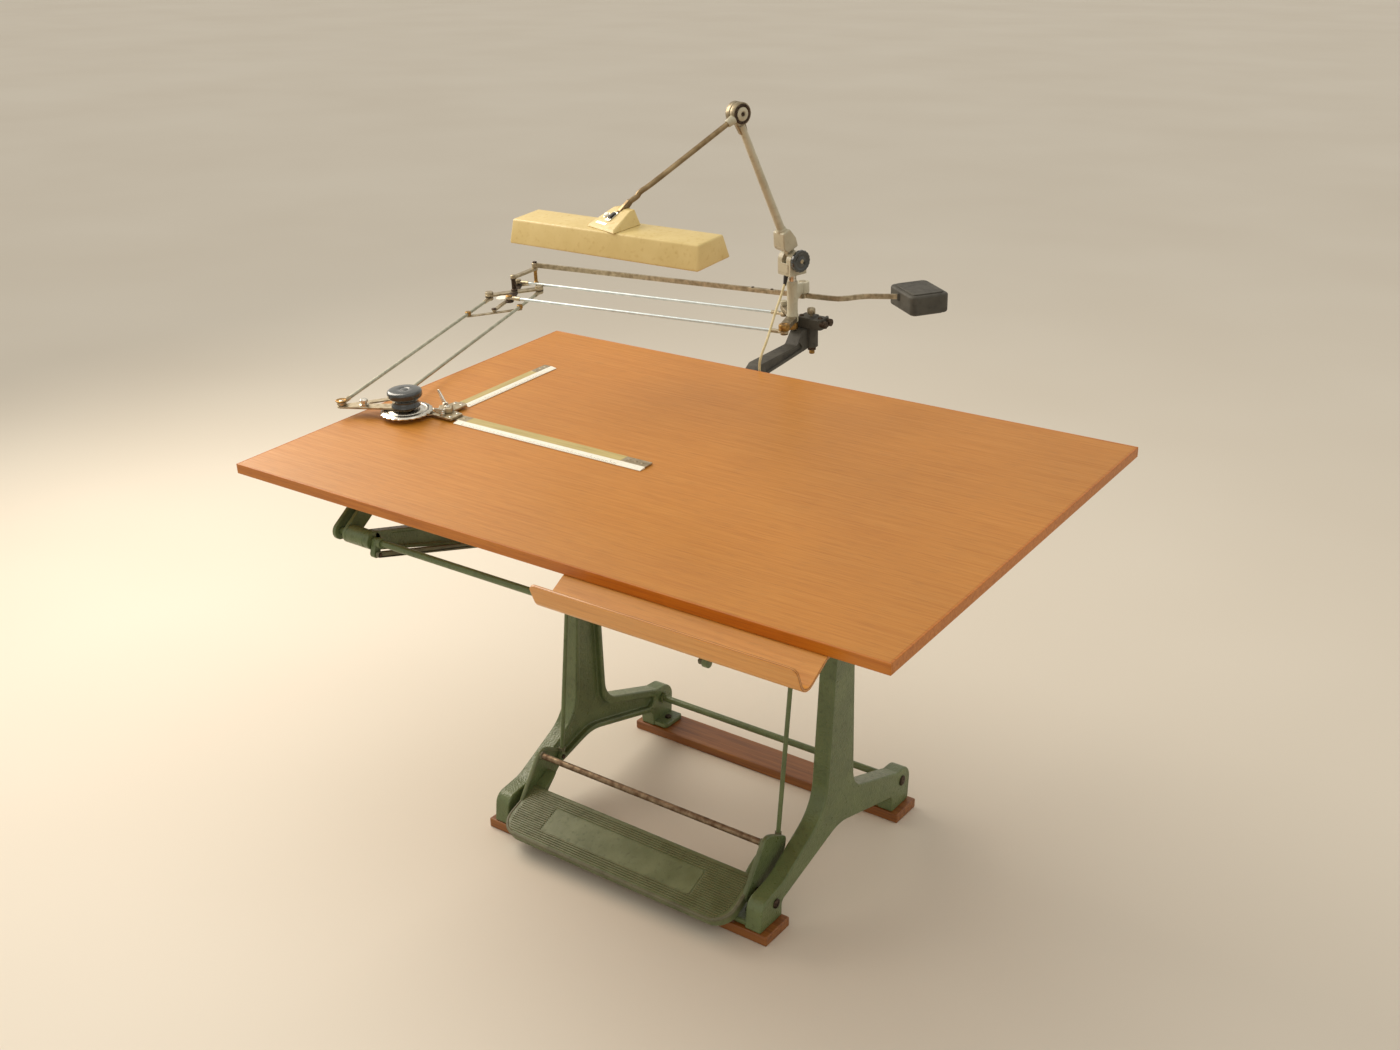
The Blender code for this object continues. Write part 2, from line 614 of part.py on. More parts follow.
def machine_bracket():
    arm_u, arm_w = -0.1825, 0.035
    outline = [(0.720, UNDER), (1.0060, UNDER), (1.040, 0.000), (1.195, 0.000), (1.222, 0.0300, 0.005),
               (1.280, 0.0300, 0.005), (1.280, -0.018, 0.010), (1.060, -0.032), (0.720, -0.044)]
    moved = [(v - HUB_ON_BOARD.y, h - HUB_ON_BOARD.z, *rest) for v, h, *rest in outline]
    arm = plate("machine_bracket", moved, arm_w, BOARD_AXIS, (arm_u, 0, 0), IRON)
    boss = cylinder("bracket_boss", 0.0150, on_board((-0.163, 1.258, -0.018)), on_board((-0.163, 1.258, 0.0300)),
                    BOARD_AXIS, IRON)
    bolt = cylinder("bracket_bolt", 0.0075, on_board((-0.163, 1.258, -0.036)), on_board((-0.163, 1.258, 0.000)),
                    BOARD_AXIS, BARE, 14)
    join(arm, boss, bolt)
    clamp = block("clamp_block", (0.067, 0.042, 0.0296), BOARD_AXIS, on_board((-0.1605, 1.260, 0.0451 + GAP)),
                  IRON, edge=0.003)
    roller = cylinder("clamp_roller", 0.0120, on_board((-0.128, 1.240, 0.0445)), on_board((-0.128, 1.278, 0.0445)),
                      BOARD_AXIS, IRON)
    well = cylinder("screw_well", PIN_R + 2 * GAP, on_board((-0.165, 1.259, 0.050)),
                    on_board((-0.165, 1.259, 0.080)), BOARD_AXIS, IRON, 14)
    join(clamp, roller)
    cut(clamp, well)
    axis = empty("clamp_screw_axis", on_board((-0.165, 1.259, 0.0602 + GAP)), BOARD_AXIS)
    head = [(0, 0.017), (0.0085, 0.017), (0.0095, 0.015), (0.0095, 0.003), (0.0085, 0.001), (PIN_R, 0.001),
            (PIN_R, -0.009), (0, -0.009)]
    turned("clamp_screw", head, axis, (0, 0, 0), TARNISH, 16)


block("board_panel", (BOARD_W, BOARD_D, BOARD_T), BOARD_AXIS, on_board((0, BOARD_D / 2, -BOARD_T / 2)), TOP,
      edge=0.0012)
for side, word in SIDES:
    fork(side, word)
tray()
block("tray_bracket", (0.060, 0.058, 0.0030), BOARD_AXIS,
      on_board((0.279, 0.0390, UNDER - TRAY_T - GAP - 0.0015)), BARE)
machine_bracket()

# ---------------------------------------------------------------- drafting machine
FLAT = (0, 0, 0)
ELBOW_A = PIVOT_A + UPPER_ARM
ELBOW_B = PIVOT_B + UPPER_ARM
BAR_END = BAR_HUB + UPPER_ARM
ELBOW_MID = (ELBOW_L + ELBOW_R) / 2
HEAD_A = ELBOW_L + LOWER_ARM
HEAD_B = ELBOW_R + LOWER_ARM


def raised(place, height):
    return Vector((place.x, place.y, height))


def head_casting():
    """The column, its foot, the two rod pivots and the bar hub, all one casting."""
    low = UPPER_H + 0.0045
    base = on_board
    casting = turned("head_casting", [(0, COLUMN_TOP), (COLUMN_R, COLUMN_TOP), (COLUMN_R, 0.072),
                                      (0.0143, 0.068), (0.0143, low), (COLUMN_R, low), (COLUMN_R, 0.0306),
                                      (0, 0.0306)],
                     BOARD_AXIS, on_board(COLUMN), CREAM)
    to_a = PIVOT_A - COLUMN
    to_b = PIVOT_B - COLUMN
    to_hub = BAR_HUB - COLUMN
    foot_a = plate("foot_a", bar_outline((0, 0), to_a, 0.026), 0.014, BOARD_AXIS,
                   base(raised(COLUMN, low + 0.007)), CREAM, FLAT)
    foot_b = plate("foot_b", bar_outline((0, 0), to_b, 0.020), 0.010, BOARD_AXIS,
                   base(raised(COLUMN, low + 0.012)), CREAM, FLAT)
    drum_b = cylinder("drum_b", 0.0090, base(raised(PIVOT_B, low)), base(raised(PIVOT_B, 0.0780)), BOARD_AXIS,
                      CREAM, 18)
    pin_a = cylinder("pin_a", PIN_R, base(raised(PIVOT_A, UPPER_H - 0.006)), base(raised(PIVOT_A, low + 0.004)),
                     BOARD_AXIS, CREAM, 14)
    pin_b = cylinder("pin_b", PIN_R, base(raised(PIVOT_B, UPPER_H - 0.006)), base(raised(PIVOT_B, low + 0.004)),
                     BOARD_AXIS, CREAM, 14)
    hub = cylinder("bar_hub", 0.0165, base(raised(BAR_HUB, 0.0935)), base(raised(BAR_HUB, 0.1220)), BOARD_AXIS,
                   CREAM, 24)
    hub_pin = cylinder("bar_hub_pin", 0.0050, base(raised(BAR_HUB, 0.0790)), base(raised(BAR_HUB, 0.1000)),
                       BOARD_AXIS, CREAM, 14)
    reach = hypot(to_hub.x, to_hub.y)
    turn = Matrix.Rotation(atan2(to_hub.y, to_hub.x), 3, "Z") @ Matrix.Rotation(pi / 2, 3, "X")
    web = plate("hub_web", [(0, 0.075), (reach * 0.55, 0.094), (reach, 0.098), (reach, 0.120), (0, 0.138)],
                0.012, BOARD_AXIS, base(COLUMN), CREAM, turn.to_euler())
    pin = cylinder("lamp_pin", 0.0105, base(raised(COLUMN, COLUMN_TOP - 0.01)), base(raised(COLUMN, 0.1640)),
                   BOARD_AXIS, CHROME)
    stop = cylinder("lamp_stem", 0.0060, base(raised(COLUMN, 0.1600)), base(raised(COLUMN, 0.1760)),
                    BOARD_AXIS, CHROME, 16)
    join(casting, foot_a, foot_b, drum_b, hub, hub_pin, web, pin_a, pin_b, pin, stop)


def eye_rod(name, start, run, height, home, paint, holes=(True, True)):
    """A round rod between two flat eyes, with its axis at the start."""
    along = run.normalized()
    shaft = cylinder(name, ROD_R, along * EYE_R * 0.6, run - along * EYE_R * 0.6, home, paint, 12)
    tools = []
    for i, at in enumerate((Vector((0, 0, 0)), run)):
        eye = cylinder(f"{name}_eye_{i}", EYE_R, at - Vector((0, 0, EYE_T / 2)), at + Vector((0, 0, EYE_T / 2)),
                       home, paint, 20)
        tools.append(eye)
    join(shaft, *tools)
    for i, at in enumerate((Vector((0, 0, 0)), run)):
        if holes[i]:
            bore = cylinder(f"{name}_bore_{i}", PIN_R + GAP, at - Vector((0, 0, 0.01)), at + Vector((0, 0, 0.01)),
                            home, paint, 16)
            cut(shaft, bore)
    return shaft


def upper_arm():
    axis_a = empty("upper_arm_axis", on_board(raised(PIVOT_A, UPPER_H)), BOARD_AXIS)
    eye_rod("upper_rod_front", PIVOT_A, UPPER_ARM, UPPER_H, axis_a, SILVER)
    axis_b = empty("upper_rod_axis", on_board(raised(PIVOT_B, UPPER_H)), BOARD_AXIS)
    eye_rod("upper_rod_rear", PIVOT_B, UPPER_ARM, UPPER_H, axis_b, SILVER)
    return axis_a


def balance_bar():
    axis = empty("balance_axis", on_board(raised(BAR_HUB, BAR_H)), BOARD_AXIS)
    tall, thick = 0.012, 0.006
    bends = [UPPER_ARM, Vector((0, 0, 0)), Vector((0.086, 0.012, 0)), Vector((0.130, 0.062, 0)),
             Vector((0.214, 0.106, 0))]
    across = [Vector((-UPPER_ARM.y, UPPER_ARM.x, 0)).normalized() * -1]
    for i in range(1, len(bends) - 1):
        run = (bends[i + 1] - bends[i - 1]).normalized()
        across.append(Vector((run.y, -run.x, 0)) * -1)
    across.append(across[-1])
    left = [tuple((at + side * thick / 2)[:2]) for at, side in zip(bends, across)]
    right = [tuple((at - side * thick / 2)[:2]) for at, side in zip(bends, across)]
    bar = plate("balance_bar", left + right[::-1], tall, axis, (0, 0, 0), TARNISH, FLAT)
    for i, at in enumerate((Vector((0, 0, 0)), UPPER_ARM)):
        eye = cylinder(f"bar_eye_{i}", (0.0120, 0.0080)[i], at - Vector((0, 0, tall / 2)),
                       at + Vector((0, 0, tall / 2)), axis, TARNISH, 20)
        join(bar, eye)
    for i, (at, radius) in enumerate(((Vector((0, 0, 0)), 0.0050 + GAP), (UPPER_ARM, PIN_R + GAP))):
        bore = cylinder(f"bar_bore_{i}", radius, at - Vector((0, 0, 0.02)), at + Vector((0, 0, 0.02)), axis,
                        TARNISH, 16)
        cut(bar, bore)
    turn = radians(-36)
    long_way = Vector((cos(turn), sin(turn), 0))
    short_way = Vector((-sin(turn), cos(turn), 0))
    size = Vector((0.128, 0.100, 0.054))
    near = bends[-1]
    centre = near + short_way * (size.y / 2 - 0.006) + long_way * 0.006 + Vector((0, 0, -0.0075))
    weight = block("machine_counterweight", size, axis, centre, IRON, (0, 0, turn), 0.010)
    socket = block("weight_socket", (0.020, 0.040, tall + 2 * GAP), axis, near, IRON,
                   (0, 0, turn))
    run = (bends[-1] - bends[-2]).normalized()
    socket.rotation_euler = (0, 0, atan2(run.y, run.x))
    socket.scale = (4, 0.165, 1)
    cut(weight, socket)


def elbow():
    axis = empty("elbow_axis", UPPER_ARM, UPPER_AXIS)
    home = raised(ELBOW_A, UPPER_H)

    def here(place, height):
        return raised(place, height) - home
    level, thick = 0.0370, 0.0060
    low, high = level - thick / 2, level + thick / 2
    cross = bar_outline(ELBOW_L - ELBOW_A, ELBOW_R - ELBOW_A, 0.020)
    frame = plate("elbow_frame", cross, thick, axis, (0, 0, level - UPPER_H), TARNISH, FLAT)
    second = plate("elbow_second", bar_outline(ELBOW_A - ELBOW_A, ELBOW_B - ELBOW_A, 0.020), thick, axis,
                   (0, 0, level - UPPER_H), TARNISH, FLAT)
    third = plate("elbow_third", bar_outline(ELBOW_B - ELBOW_A, BAR_END - ELBOW_A, 0.014), thick, axis,
                  (0, 0, level - UPPER_H), TARNISH, FLAT)
    crank_low = BAR_H - 0.006 - GAP - 0.007
    crank = plate("elbow_crank", bar_outline(ELBOW_MID - ELBOW_A, BAR_END - ELBOW_A, 0.014), 0.007, axis,
                  (0, 0, crank_low + 0.0035 - UPPER_H), TARNISH, FLAT)
    posts = [cylinder("post_mid", 0.0055, here(ELBOW_MID, low + 0.001), here(ELBOW_MID, crank_low + 0.006), axis,
                      TARNISH, 14),
             cylinder("post_end", 0.0045, here(BAR_END, low + 0.001), here(BAR_END, crank_low + 0.001), axis,
                      TARNISH, 14),
             cylinder("end_pin", PIN_R, here(BAR_END, crank_low + 0.001), here(BAR_END, BAR_H + 0.007), axis,
                      TARNISH, 14)]
    pins = [cylinder(f"elbow_pin_up_{i}", PIN_R, here(at, low + 0.001), here(at, UPPER_H + 0.005), axis, TARNISH,
                     14) for i, at in enumerate((ELBOW_A, ELBOW_B))]
    pins += [cylinder(f"elbow_pin_down_{i}", PIN_R, here(at, LOWER_H - 0.005), here(at, high - 0.001), axis,
                      TARNISH, 14) for i, at in enumerate((ELBOW_L, ELBOW_R, ELBOW_MID))]
    join(frame, second, third, crank, *posts, *pins)
    return axis, home


def lower_arm(axis, home):
    def here(place, height):
        return raised(place, height) - home
    front = empty("lower_arm_axis", here(ELBOW_L, LOWER_H), axis)
    eye_rod("lower_rod_front", ELBOW_L, LOWER_ARM, LOWER_H, front, SILVER)
    rear = empty("lower_rod_axis", here(ELBOW_R, LOWER_H), axis)
    eye_rod("lower_rod_rear", ELBOW_R, LOWER_ARM, LOWER_H, rear, SILVER)
    short = LOWER_ARM * CROSSBAR_AT
    link = empty("elbow_link_axis", here(ELBOW_MID, LOWER_H), axis)
    bar = plate("elbow_link", bar_outline((0, 0), short, 0.010), 0.0050, link, (0, 0, 0), TARNISH, FLAT)
    for i, at in enumerate((Vector((0, 0, 0)), short)):
        cut(bar, cylinder(f"link_bore_{i}", PIN_R + GAP, at - Vector((0, 0, 0.01)), at + Vector((0, 0, 0.01)),
                          link, TARNISH, 16))
    cross_h = LOWER_H - ROD_R - 0.0012
    cross_axis = empty("crossbar_axis", short + Vector((0, 0, cross_h - 0.0015 - LOWER_H)), front)
    run = ELBOW_R - ELBOW_L
    cross = plate("elbow_crossbar", bar_outline((0, 0), run, 0.012), 0.0030, cross_axis, (0, 0, 0), TARNISH,
                  FLAT)
    join(cross, cylinder("crossbar_pin", PIN_R, run / 2 - Vector((0, 0, 0.001)), run / 2 + Vector((0, 0, 0.008)),
                         cross_axis, TARNISH, 14))
    return front


def protractor(front):
    """The head bracket, the indexed disc, the hand knob, the chuck with its two levers and the scales."""
    head = raised(HEAD_A, LOWER_H)
    axis = empty("head_axis", LOWER_ARM, front)

    def here(place, height):
        return raised(place, height) - head
    top = LOWER_H - EYE_T / 2 - GAP
    flat = 0.0050
    arms = [(HEAD_A, HEAD_B, 0.016), (HEAD_A, PROTRACTOR, 0.026), (HEAD_B, PROTRACTOR, 0.024)]
    bars = [plate(f"head_bar_{i}", bar_outline(a - HEAD_A, b - HEAD_A, wide), flat, axis,
                  (0, 0, top - flat / 2 - LOWER_H), TARNISH, FLAT) for i, (a, b, wide) in enumerate(arms)]
    bracket = bars[0]
    bracket.name = "head_bracket"
    pins = [cylinder(f"head_pin_{i}", PIN_R, here(at, top - 0.003), here(at, LOWER_H + 0.005), axis, TARNISH,
                     14) for i, at in enumerate((HEAD_A, HEAD_B))]
    hub = cylinder("head_hub", 0.0200, here(PROTRACTOR, top - flat), here(PROTRACTOR, top), axis, TARNISH, 28)
    stud = HEAD_A.lerp(PROTRACTOR, 0.35)
    button = cylinder("head_button", 0.0080, here(stud, top - 0.001), here(stud, top + 0.016), axis, TARNISH, 18)
    join(bracket, bars[1], bars[2], hub, button, *pins)
    cut(bracket, cylinder("head_bore", 0.0060 + GAP, here(PROTRACTOR, 0), here(PROTRACTOR, 0.05), axis, TARNISH))
    disc_top = top - flat - GAP
    disc_low = 0.0093
    bore = 0.0060 + GAP
    turned("protractor_disc", [(bore, disc_top), (DISC_R - 0.003, disc_top), (DISC_R, disc_top - 0.002),
                               (DISC_R, disc_low + 0.002), (DISC_R - 0.003, disc_low), (bore, disc_low),
                               (bore, disc_top)], axis, here(PROTRACTOR, 0), CHROME, 36)
    rotor = empty("protractor_axis", here(PROTRACTOR, 0), axis)
    low = top + GAP
    turned("hand_knob", [(0, KNOB_TOP - 0.004), (0.010, KNOB_TOP - 0.004), (0.013, KNOB_TOP - 0.001),
                         (KNOB_R - 0.006, KNOB_TOP), (KNOB_R - 0.001, KNOB_TOP - 0.003),
                         (KNOB_R, KNOB_TOP - 0.010), (KNOB_R - 0.003, KNOB_TOP - 0.020), (0.027, low + 0.008),
                         (0.026, low), (0.0060, low), (0.0060, disc_low - 0.003), (0, disc_low - 0.003)],
           rotor, (0, 0, 0), BLACK, 36)
    return rotor, disc_low


def scales(rotor, disc_low):
    """The chuck turns with the knob and holds two scales square to each other."""
    centre = PROTRACTOR
    base = 0.0006
    low = base + SCALE_T + GAP
    high = disc_low - GAP
    thick = high - low

    def here(place, height):
        return raised(place, height) - centre
    to_chuck = CHUCK - centre
    mid = (low + high) / 2
    carrier = plate("scale_carrier", bar_outline((0, 0), to_chuck, 0.036), thick, rotor, (0, 0, mid), TARNISH,
                    FLAT)
    chuck_low = low
    chuck = plate("chuck", [(-0.602, 0.393), (-0.530, 0.393, 0.004), (-0.530, 0.431, 0.004), (-0.561, 0.434),
                            (-0.561, 0.478, 0.004), (-0.597, 0.478, 0.004), (-0.602, 0.430)],
                  thick, rotor, raised(-centre, mid), TARNISH, FLAT)
    boss = block("chuck_boss", (0.030, 0.026, 0.016), rotor, here(CHUCK + Vector((0.004, -0.004, 0)), chuck_low
                 + 0.008), TARNISH, (0, 0, radians(37)))
    collar = cylinder("carrier_collar", 0.0155, (0, 0, low), (0, 0, high), rotor, TARNISH, 24)
    join(carrier, chuck, boss, collar)
    cut(carrier, cylinder("carrier_bore", 0.0060 + GAP, (0, 0, 0), (0, 0, 0.02), rotor, TARNISH))
    long_mid = LONG_START + Vector((LONG_L / 2, 0, 0))
    block("scale_long", (LONG_L, SCALE_W, SCALE_T), rotor, here(long_mid, base + SCALE_T / 2), BOXWOOD)
    short_mid = SHORT_START + Vector((0, SHORT_L / 2, 0))
    block("scale_short", (SHORT_W, SHORT_L, SCALE_T), rotor, here(short_mid, base + SCALE_T / 2), BOXWOOD)
    away = to_chuck.normalized()
    side = Vector((-away.y, away.x, 0))
    for name, lean in (("index_lever", -1), ("lock_lever", 1)):
        pivot = centre + away * 0.0800 + side * lean * 0.0260
        axis = empty(f"{name}_axis", here(pivot, high + GAP), rotor)
        reach = (away * -0.012 + side * lean * 0.016)
        lever = plate(name, bar_outline((0, 0), reach, 0.0090), 0.0030, axis, (0, 0, 0.0060), CHROME, FLAT)
        stem = cylinder(f"{name}_stem", 0.0045, (0, 0, 0), (0, 0, 0.0065), axis, CHROME, 14)
        thumb = cylinder(f"{name}_thumb", 0.0060, reach + Vector((0, 0, 0.005)), reach + Vector((0, 0, 0.013)),
                         axis, CHROME, 14)
        join(lever, stem, thumb)


head_casting()
UPPER_AXIS = upper_arm()
balance_bar()
ELBOW_AXIS, ELBOW_HOME = elbow()
LOWER_AXIS = lower_arm(ELBOW_AXIS, ELBOW_HOME)
ROTOR, DISC_LOW = protractor(LOWER_AXIS)
scales(ROTOR, DISC_LOW)


# ---------------------------------------------------------------- lamp
LAMP_AXIS = empty("lamp_swivel_axis", on_board(COLUMN), BOARD_AXIS, (0, 0, LAMP_TURN))
# From here X runs outward along the arms and Y points to their left.


def lamp_arms():
    foot_h, head_h = 0.1667, 0.2140
    mid_h = (foot_h + head_h) / 2
    body = block("lamp_base", (0.050, 0.045, head_h - foot_h), LAMP_AXIS, (0, 0, mid_h), CREAM, edge=0.004)
    slot = block("base_slot", (0.060, 0.0136, 0.034), LAMP_AXIS, (0, 0, head_h - 0.012), CREAM)
    socket = cylinder("base_socket", 0.0063, (0, 0, 0.15), (0, 0, 0.1770), LAMP_AXIS, CREAM, 18)
    bore = cylinder("base_bore", 0.0043, (0, -0.04, LAMP_BASE_H), (0, 0.04, LAMP_BASE_H), LAMP_AXIS, CREAM, 16)
    cut(body, slot, socket, bore)
    knob_axis = empty("lamp_knob_axis", (0, 0.0225 + GAP, LAMP_BASE_H), LAMP_AXIS, (-pi / 2, 0, 0))
    turned("lamp_knob", [(0, 0.0120), (0.0120, 0.0120), (0.0160, 0.0105), (0.0170, 0.0070), (0.0150, 0.0020),
                         (0.0100, 0.0000), (0.0040, 0.0000), (0.0040, -0.0400), (0, -0.0400)],
           knob_axis, (0, 0, 0), BLACK, 24)
    pivot = Vector((0, 0, LAMP_BASE_H))
    low_axis = empty("lamp_lower_axis", pivot, LAMP_AXIS)
    elbow_at = Vector((ELBOW_REACH, 0, ELBOW_H)) - pivot
    along = elbow_at.normalized()
    shift = Vector((0, -0.0060, 0))
    arm = cylinder("lamp_lower_arm", 0.0100, along * 0.030, elbow_at - along * 0.030 + shift, low_axis, CREAM,
                   20, 0.0085)
    tongue = plate("lower_tongue", bar_outline((0, 0), (along.x * 0.04, along.z * 0.04), 0.022), 0.0126,
                   low_axis, (0, 0, 0), CREAM, (pi / 2, 0, 0))
    neck = plate("lower_neck", bar_outline((elbow_at.x, elbow_at.z),
                                           (elbow_at.x - along.x * 0.045, elbow_at.z - along.z * 0.045), 0.022),
                 0.0130, low_axis, (0, -0.0082, 0), CREAM, (pi / 2, 0, 0))
    disc = cylinder("lower_disc", 0.0260, elbow_at + Vector((0, -0.0150, 0)), elbow_at + Vector((0, -GAP, 0)),
                    low_axis, CREAM, 28)
    pin = cylinder("elbow_stud", 0.0050, elbow_at + Vector((0, -0.0100, 0)), elbow_at + Vector((0, 0.0165, 0)),
                   low_axis, CREAM, 16)
    join(arm, tongue, neck, disc, pin)
    cut(arm, cylinder("tongue_bore", 0.0043, (0, -0.02, 0), (0, 0.02, 0), low_axis, CREAM, 16))
    up_axis = empty("lamp_upper_axis", elbow_at, low_axis)
    elbow_place = Vector((ELBOW_REACH, 0, ELBOW_H))
    bend = Vector((BEND_REACH, 0, BEND_H)) - elbow_place
    foot = Vector((FOOT_REACH, 0, FOOT_H)) - elbow_place
    upper = cylinder("lamp_upper_arm", 0.0260, (0, GAP, 0), (0, 0.0150, 0), up_axis, CREAM, 28)
    away = bend.normalized()
    side = Vector((0, 0.0076, 0))
    near_foot = bend.lerp(foot, 0.45)
    rod = tube("upper_rod", [away * 0.012 + side, bend * 0.94 + side, bend + Vector((0, 0.003, 0)),
                             near_foot], 0.0060, up_axis, CREAM)
    collar = cylinder("upper_collar", 0.0072, away * 0.020 + side, away * 0.060 + side, up_axis, CREAM, 16)
    toe = plate("upper_toe", bar_outline((foot.x, foot.z), (near_foot.x, near_foot.z), 0.016), 0.0090, up_axis,
                (0, 0, 0), CREAM, (pi / 2, 0, 0))
    join(upper, rod, collar, toe)
    cut(upper, cylinder("upper_bore", 0.0053, (0, -0.01, 0), (0, 0.03, 0), up_axis, CREAM, 16),
        cylinder("toe_bore", 0.0038, foot + Vector((0, -0.02, 0)), foot + Vector((0, 0.02, 0)), up_axis, CREAM,
                 14))
    return up_axis, foot, elbow_place


def lamp_shade(up_axis, foot, elbow_place):
    saddle_axis = empty("lamp_tilt_axis", foot, up_axis, (0, SHADE_ROLL, 0))
    home = elbow_place + foot
    shade_at = Vector((SHADE_REACH, 0, SHADE_H + GAP)) - home
    floor = SHADE_H + GAP - home.z

    def wedge(form):
        for y in (-1, 1):
            for x, across, z in ((-0.020, 0.037, 0), (0.060, 0.050, 0), (-0.014, 0.028, SADDLE_H),
                                 (0, 0.030, SADDLE_H), (SADDLE_RUN, 0.044, SADDLE_NOSE)):
                form.verts.new((x, y * across, floor + z))
        bmesh.ops.convex_hull(form, input=form.verts)
    saddle = stand(shape(wedge, "lamp_saddle"), saddle_axis, (0, 0, 0), (0, 0, 0), CREAM, "lamp_saddle")
    notch = block("saddle_notch", (0.055, SADDLE_SLOT, 0.060), saddle_axis, (-0.0155, 0, floor + 0.040), CREAM)
    cut(saddle, notch)
    pin = cylinder("saddle_pin", 0.0035, (0, -0.0100, 0), (0, 0.0100, 0), saddle_axis, CREAM, 14)
    stud = cylinder("swivel_stud", 0.0060, shade_at + Vector((0, 0, -0.0080)), shade_at + Vector((0, 0, 0.002)),
                    saddle_axis, CREAM, 16)
    join(saddle, pin, stud)
    turn = -LAMP_TURN + radians(-1.1)
    shade_axis = empty("lamp_shade_axis", shade_at - Vector((0, 0, GAP)), saddle_axis, (0, 0, turn))

    def tapered(name, length, top_w, low_w, top_z, low_z, end_in):
        def build(form):
            bmesh.ops.create_cube(form, size=1)
            for corner in form.verts:
                high = corner.co.z > 0
                corner.co.x = (1 if corner.co.x > 0 else -1) * (length / 2 - (end_in if high else 0))
                corner.co.y = (1 if corner.co.y > 0 else -1) * (top_w if high else low_w) / 2
                corner.co.z = top_z if high else low_z
        return stand(shape(build, name), shade_axis, (0, 0, 0), (0, 0, 0), MUSTARD, name)
    shade = tapered("lamp_shade", SHADE_L, SHADE_TOP_W, SHADE_LOW_W, 0, -SHADE_DEEP, 0.004)
    edge = shade.modifiers.new("edge", "BEVEL")
    edge.width = 0.005
    edge.segments = 3
    edge.limit_method = "NONE"
    slope = (SHADE_LOW_W - SHADE_TOP_W) / 2 / SHADE_DEEP
    deep_w = SHADE_LOW_W - 2 * SHADE_WALL + 2 * slope * 0.010
    hollow = tapered("shade_hollow", SHADE_L - 2 * SHADE_WALL, SHADE_TOP_W - 2 * SHADE_WALL, deep_w,
                     -SHADE_WALL, -SHADE_DEEP - 0.010, 0.004)
    holders = [block(f"tube_holder_{i}", (0.022, 0.026, 0.034), shade_axis,
                     (x * (SHADE_L / 2 - 0.012), 0, -0.0180), MUSTARD) for i, x in enumerate((-1, 1))]
    cut(shade, hollow)
    join(shade, *holders)
    bore = cylinder("swivel_bore", 0.0063, (0, 0, -0.0300), (0, 0, 0.01), shade_axis, MUSTARD, 16)
    cups = cylinder("tube_cups", 0.0044, (-SHADE_L / 2 + 0.012, 0, -0.0250), (SHADE_L / 2 - 0.012, 0, -0.0250),
                    shade_axis, MUSTARD, 14)
    cut(shade, bore, cups)
    half = SHADE_L / 2 - 0.024
    glass = cylinder("lamp_tube", 0.0080, (-half, 0, -0.0250), (half, 0, -0.0250), shade_axis, TUBE, 16)
    caps = cylinder("tube_caps", 0.0040, (-half - 0.008, 0, -0.0250), (half + 0.008, 0, -0.0250), shade_axis, TUBE, 12)
    join(glass, caps)
    slope_angle = atan2(SADDLE_H - SADDLE_NOSE, SADDLE_RUN)
    switch_rise = SADDLE_H - SWITCH_X * (SADDLE_H - SADDLE_NOSE) / SADDLE_RUN
    switch_axis = empty("lamp_switch_axis", (SWITCH_X, -0.002, floor + switch_rise + GAP / cos(slope_angle)),
                        saddle_axis, (0, slope_angle, 0))

    def rocker(form):
        for y in (-0.005, 0.005):
            for x, z in ((-0.009, SWITCH_HEEL), (0, 0), (0.009, SWITCH_HEEL), (0.009, 0.006), (-0.009, 0.006)):
                form.verts.new((x, y, z))
        bmesh.ops.convex_hull(form, input=form.verts)
    stand(shape(rocker, "lamp_switch"), switch_axis, (0, 0, 0), (0, 0, 0), BLACK, "lamp_switch")


lamp_shade(*lamp_arms())


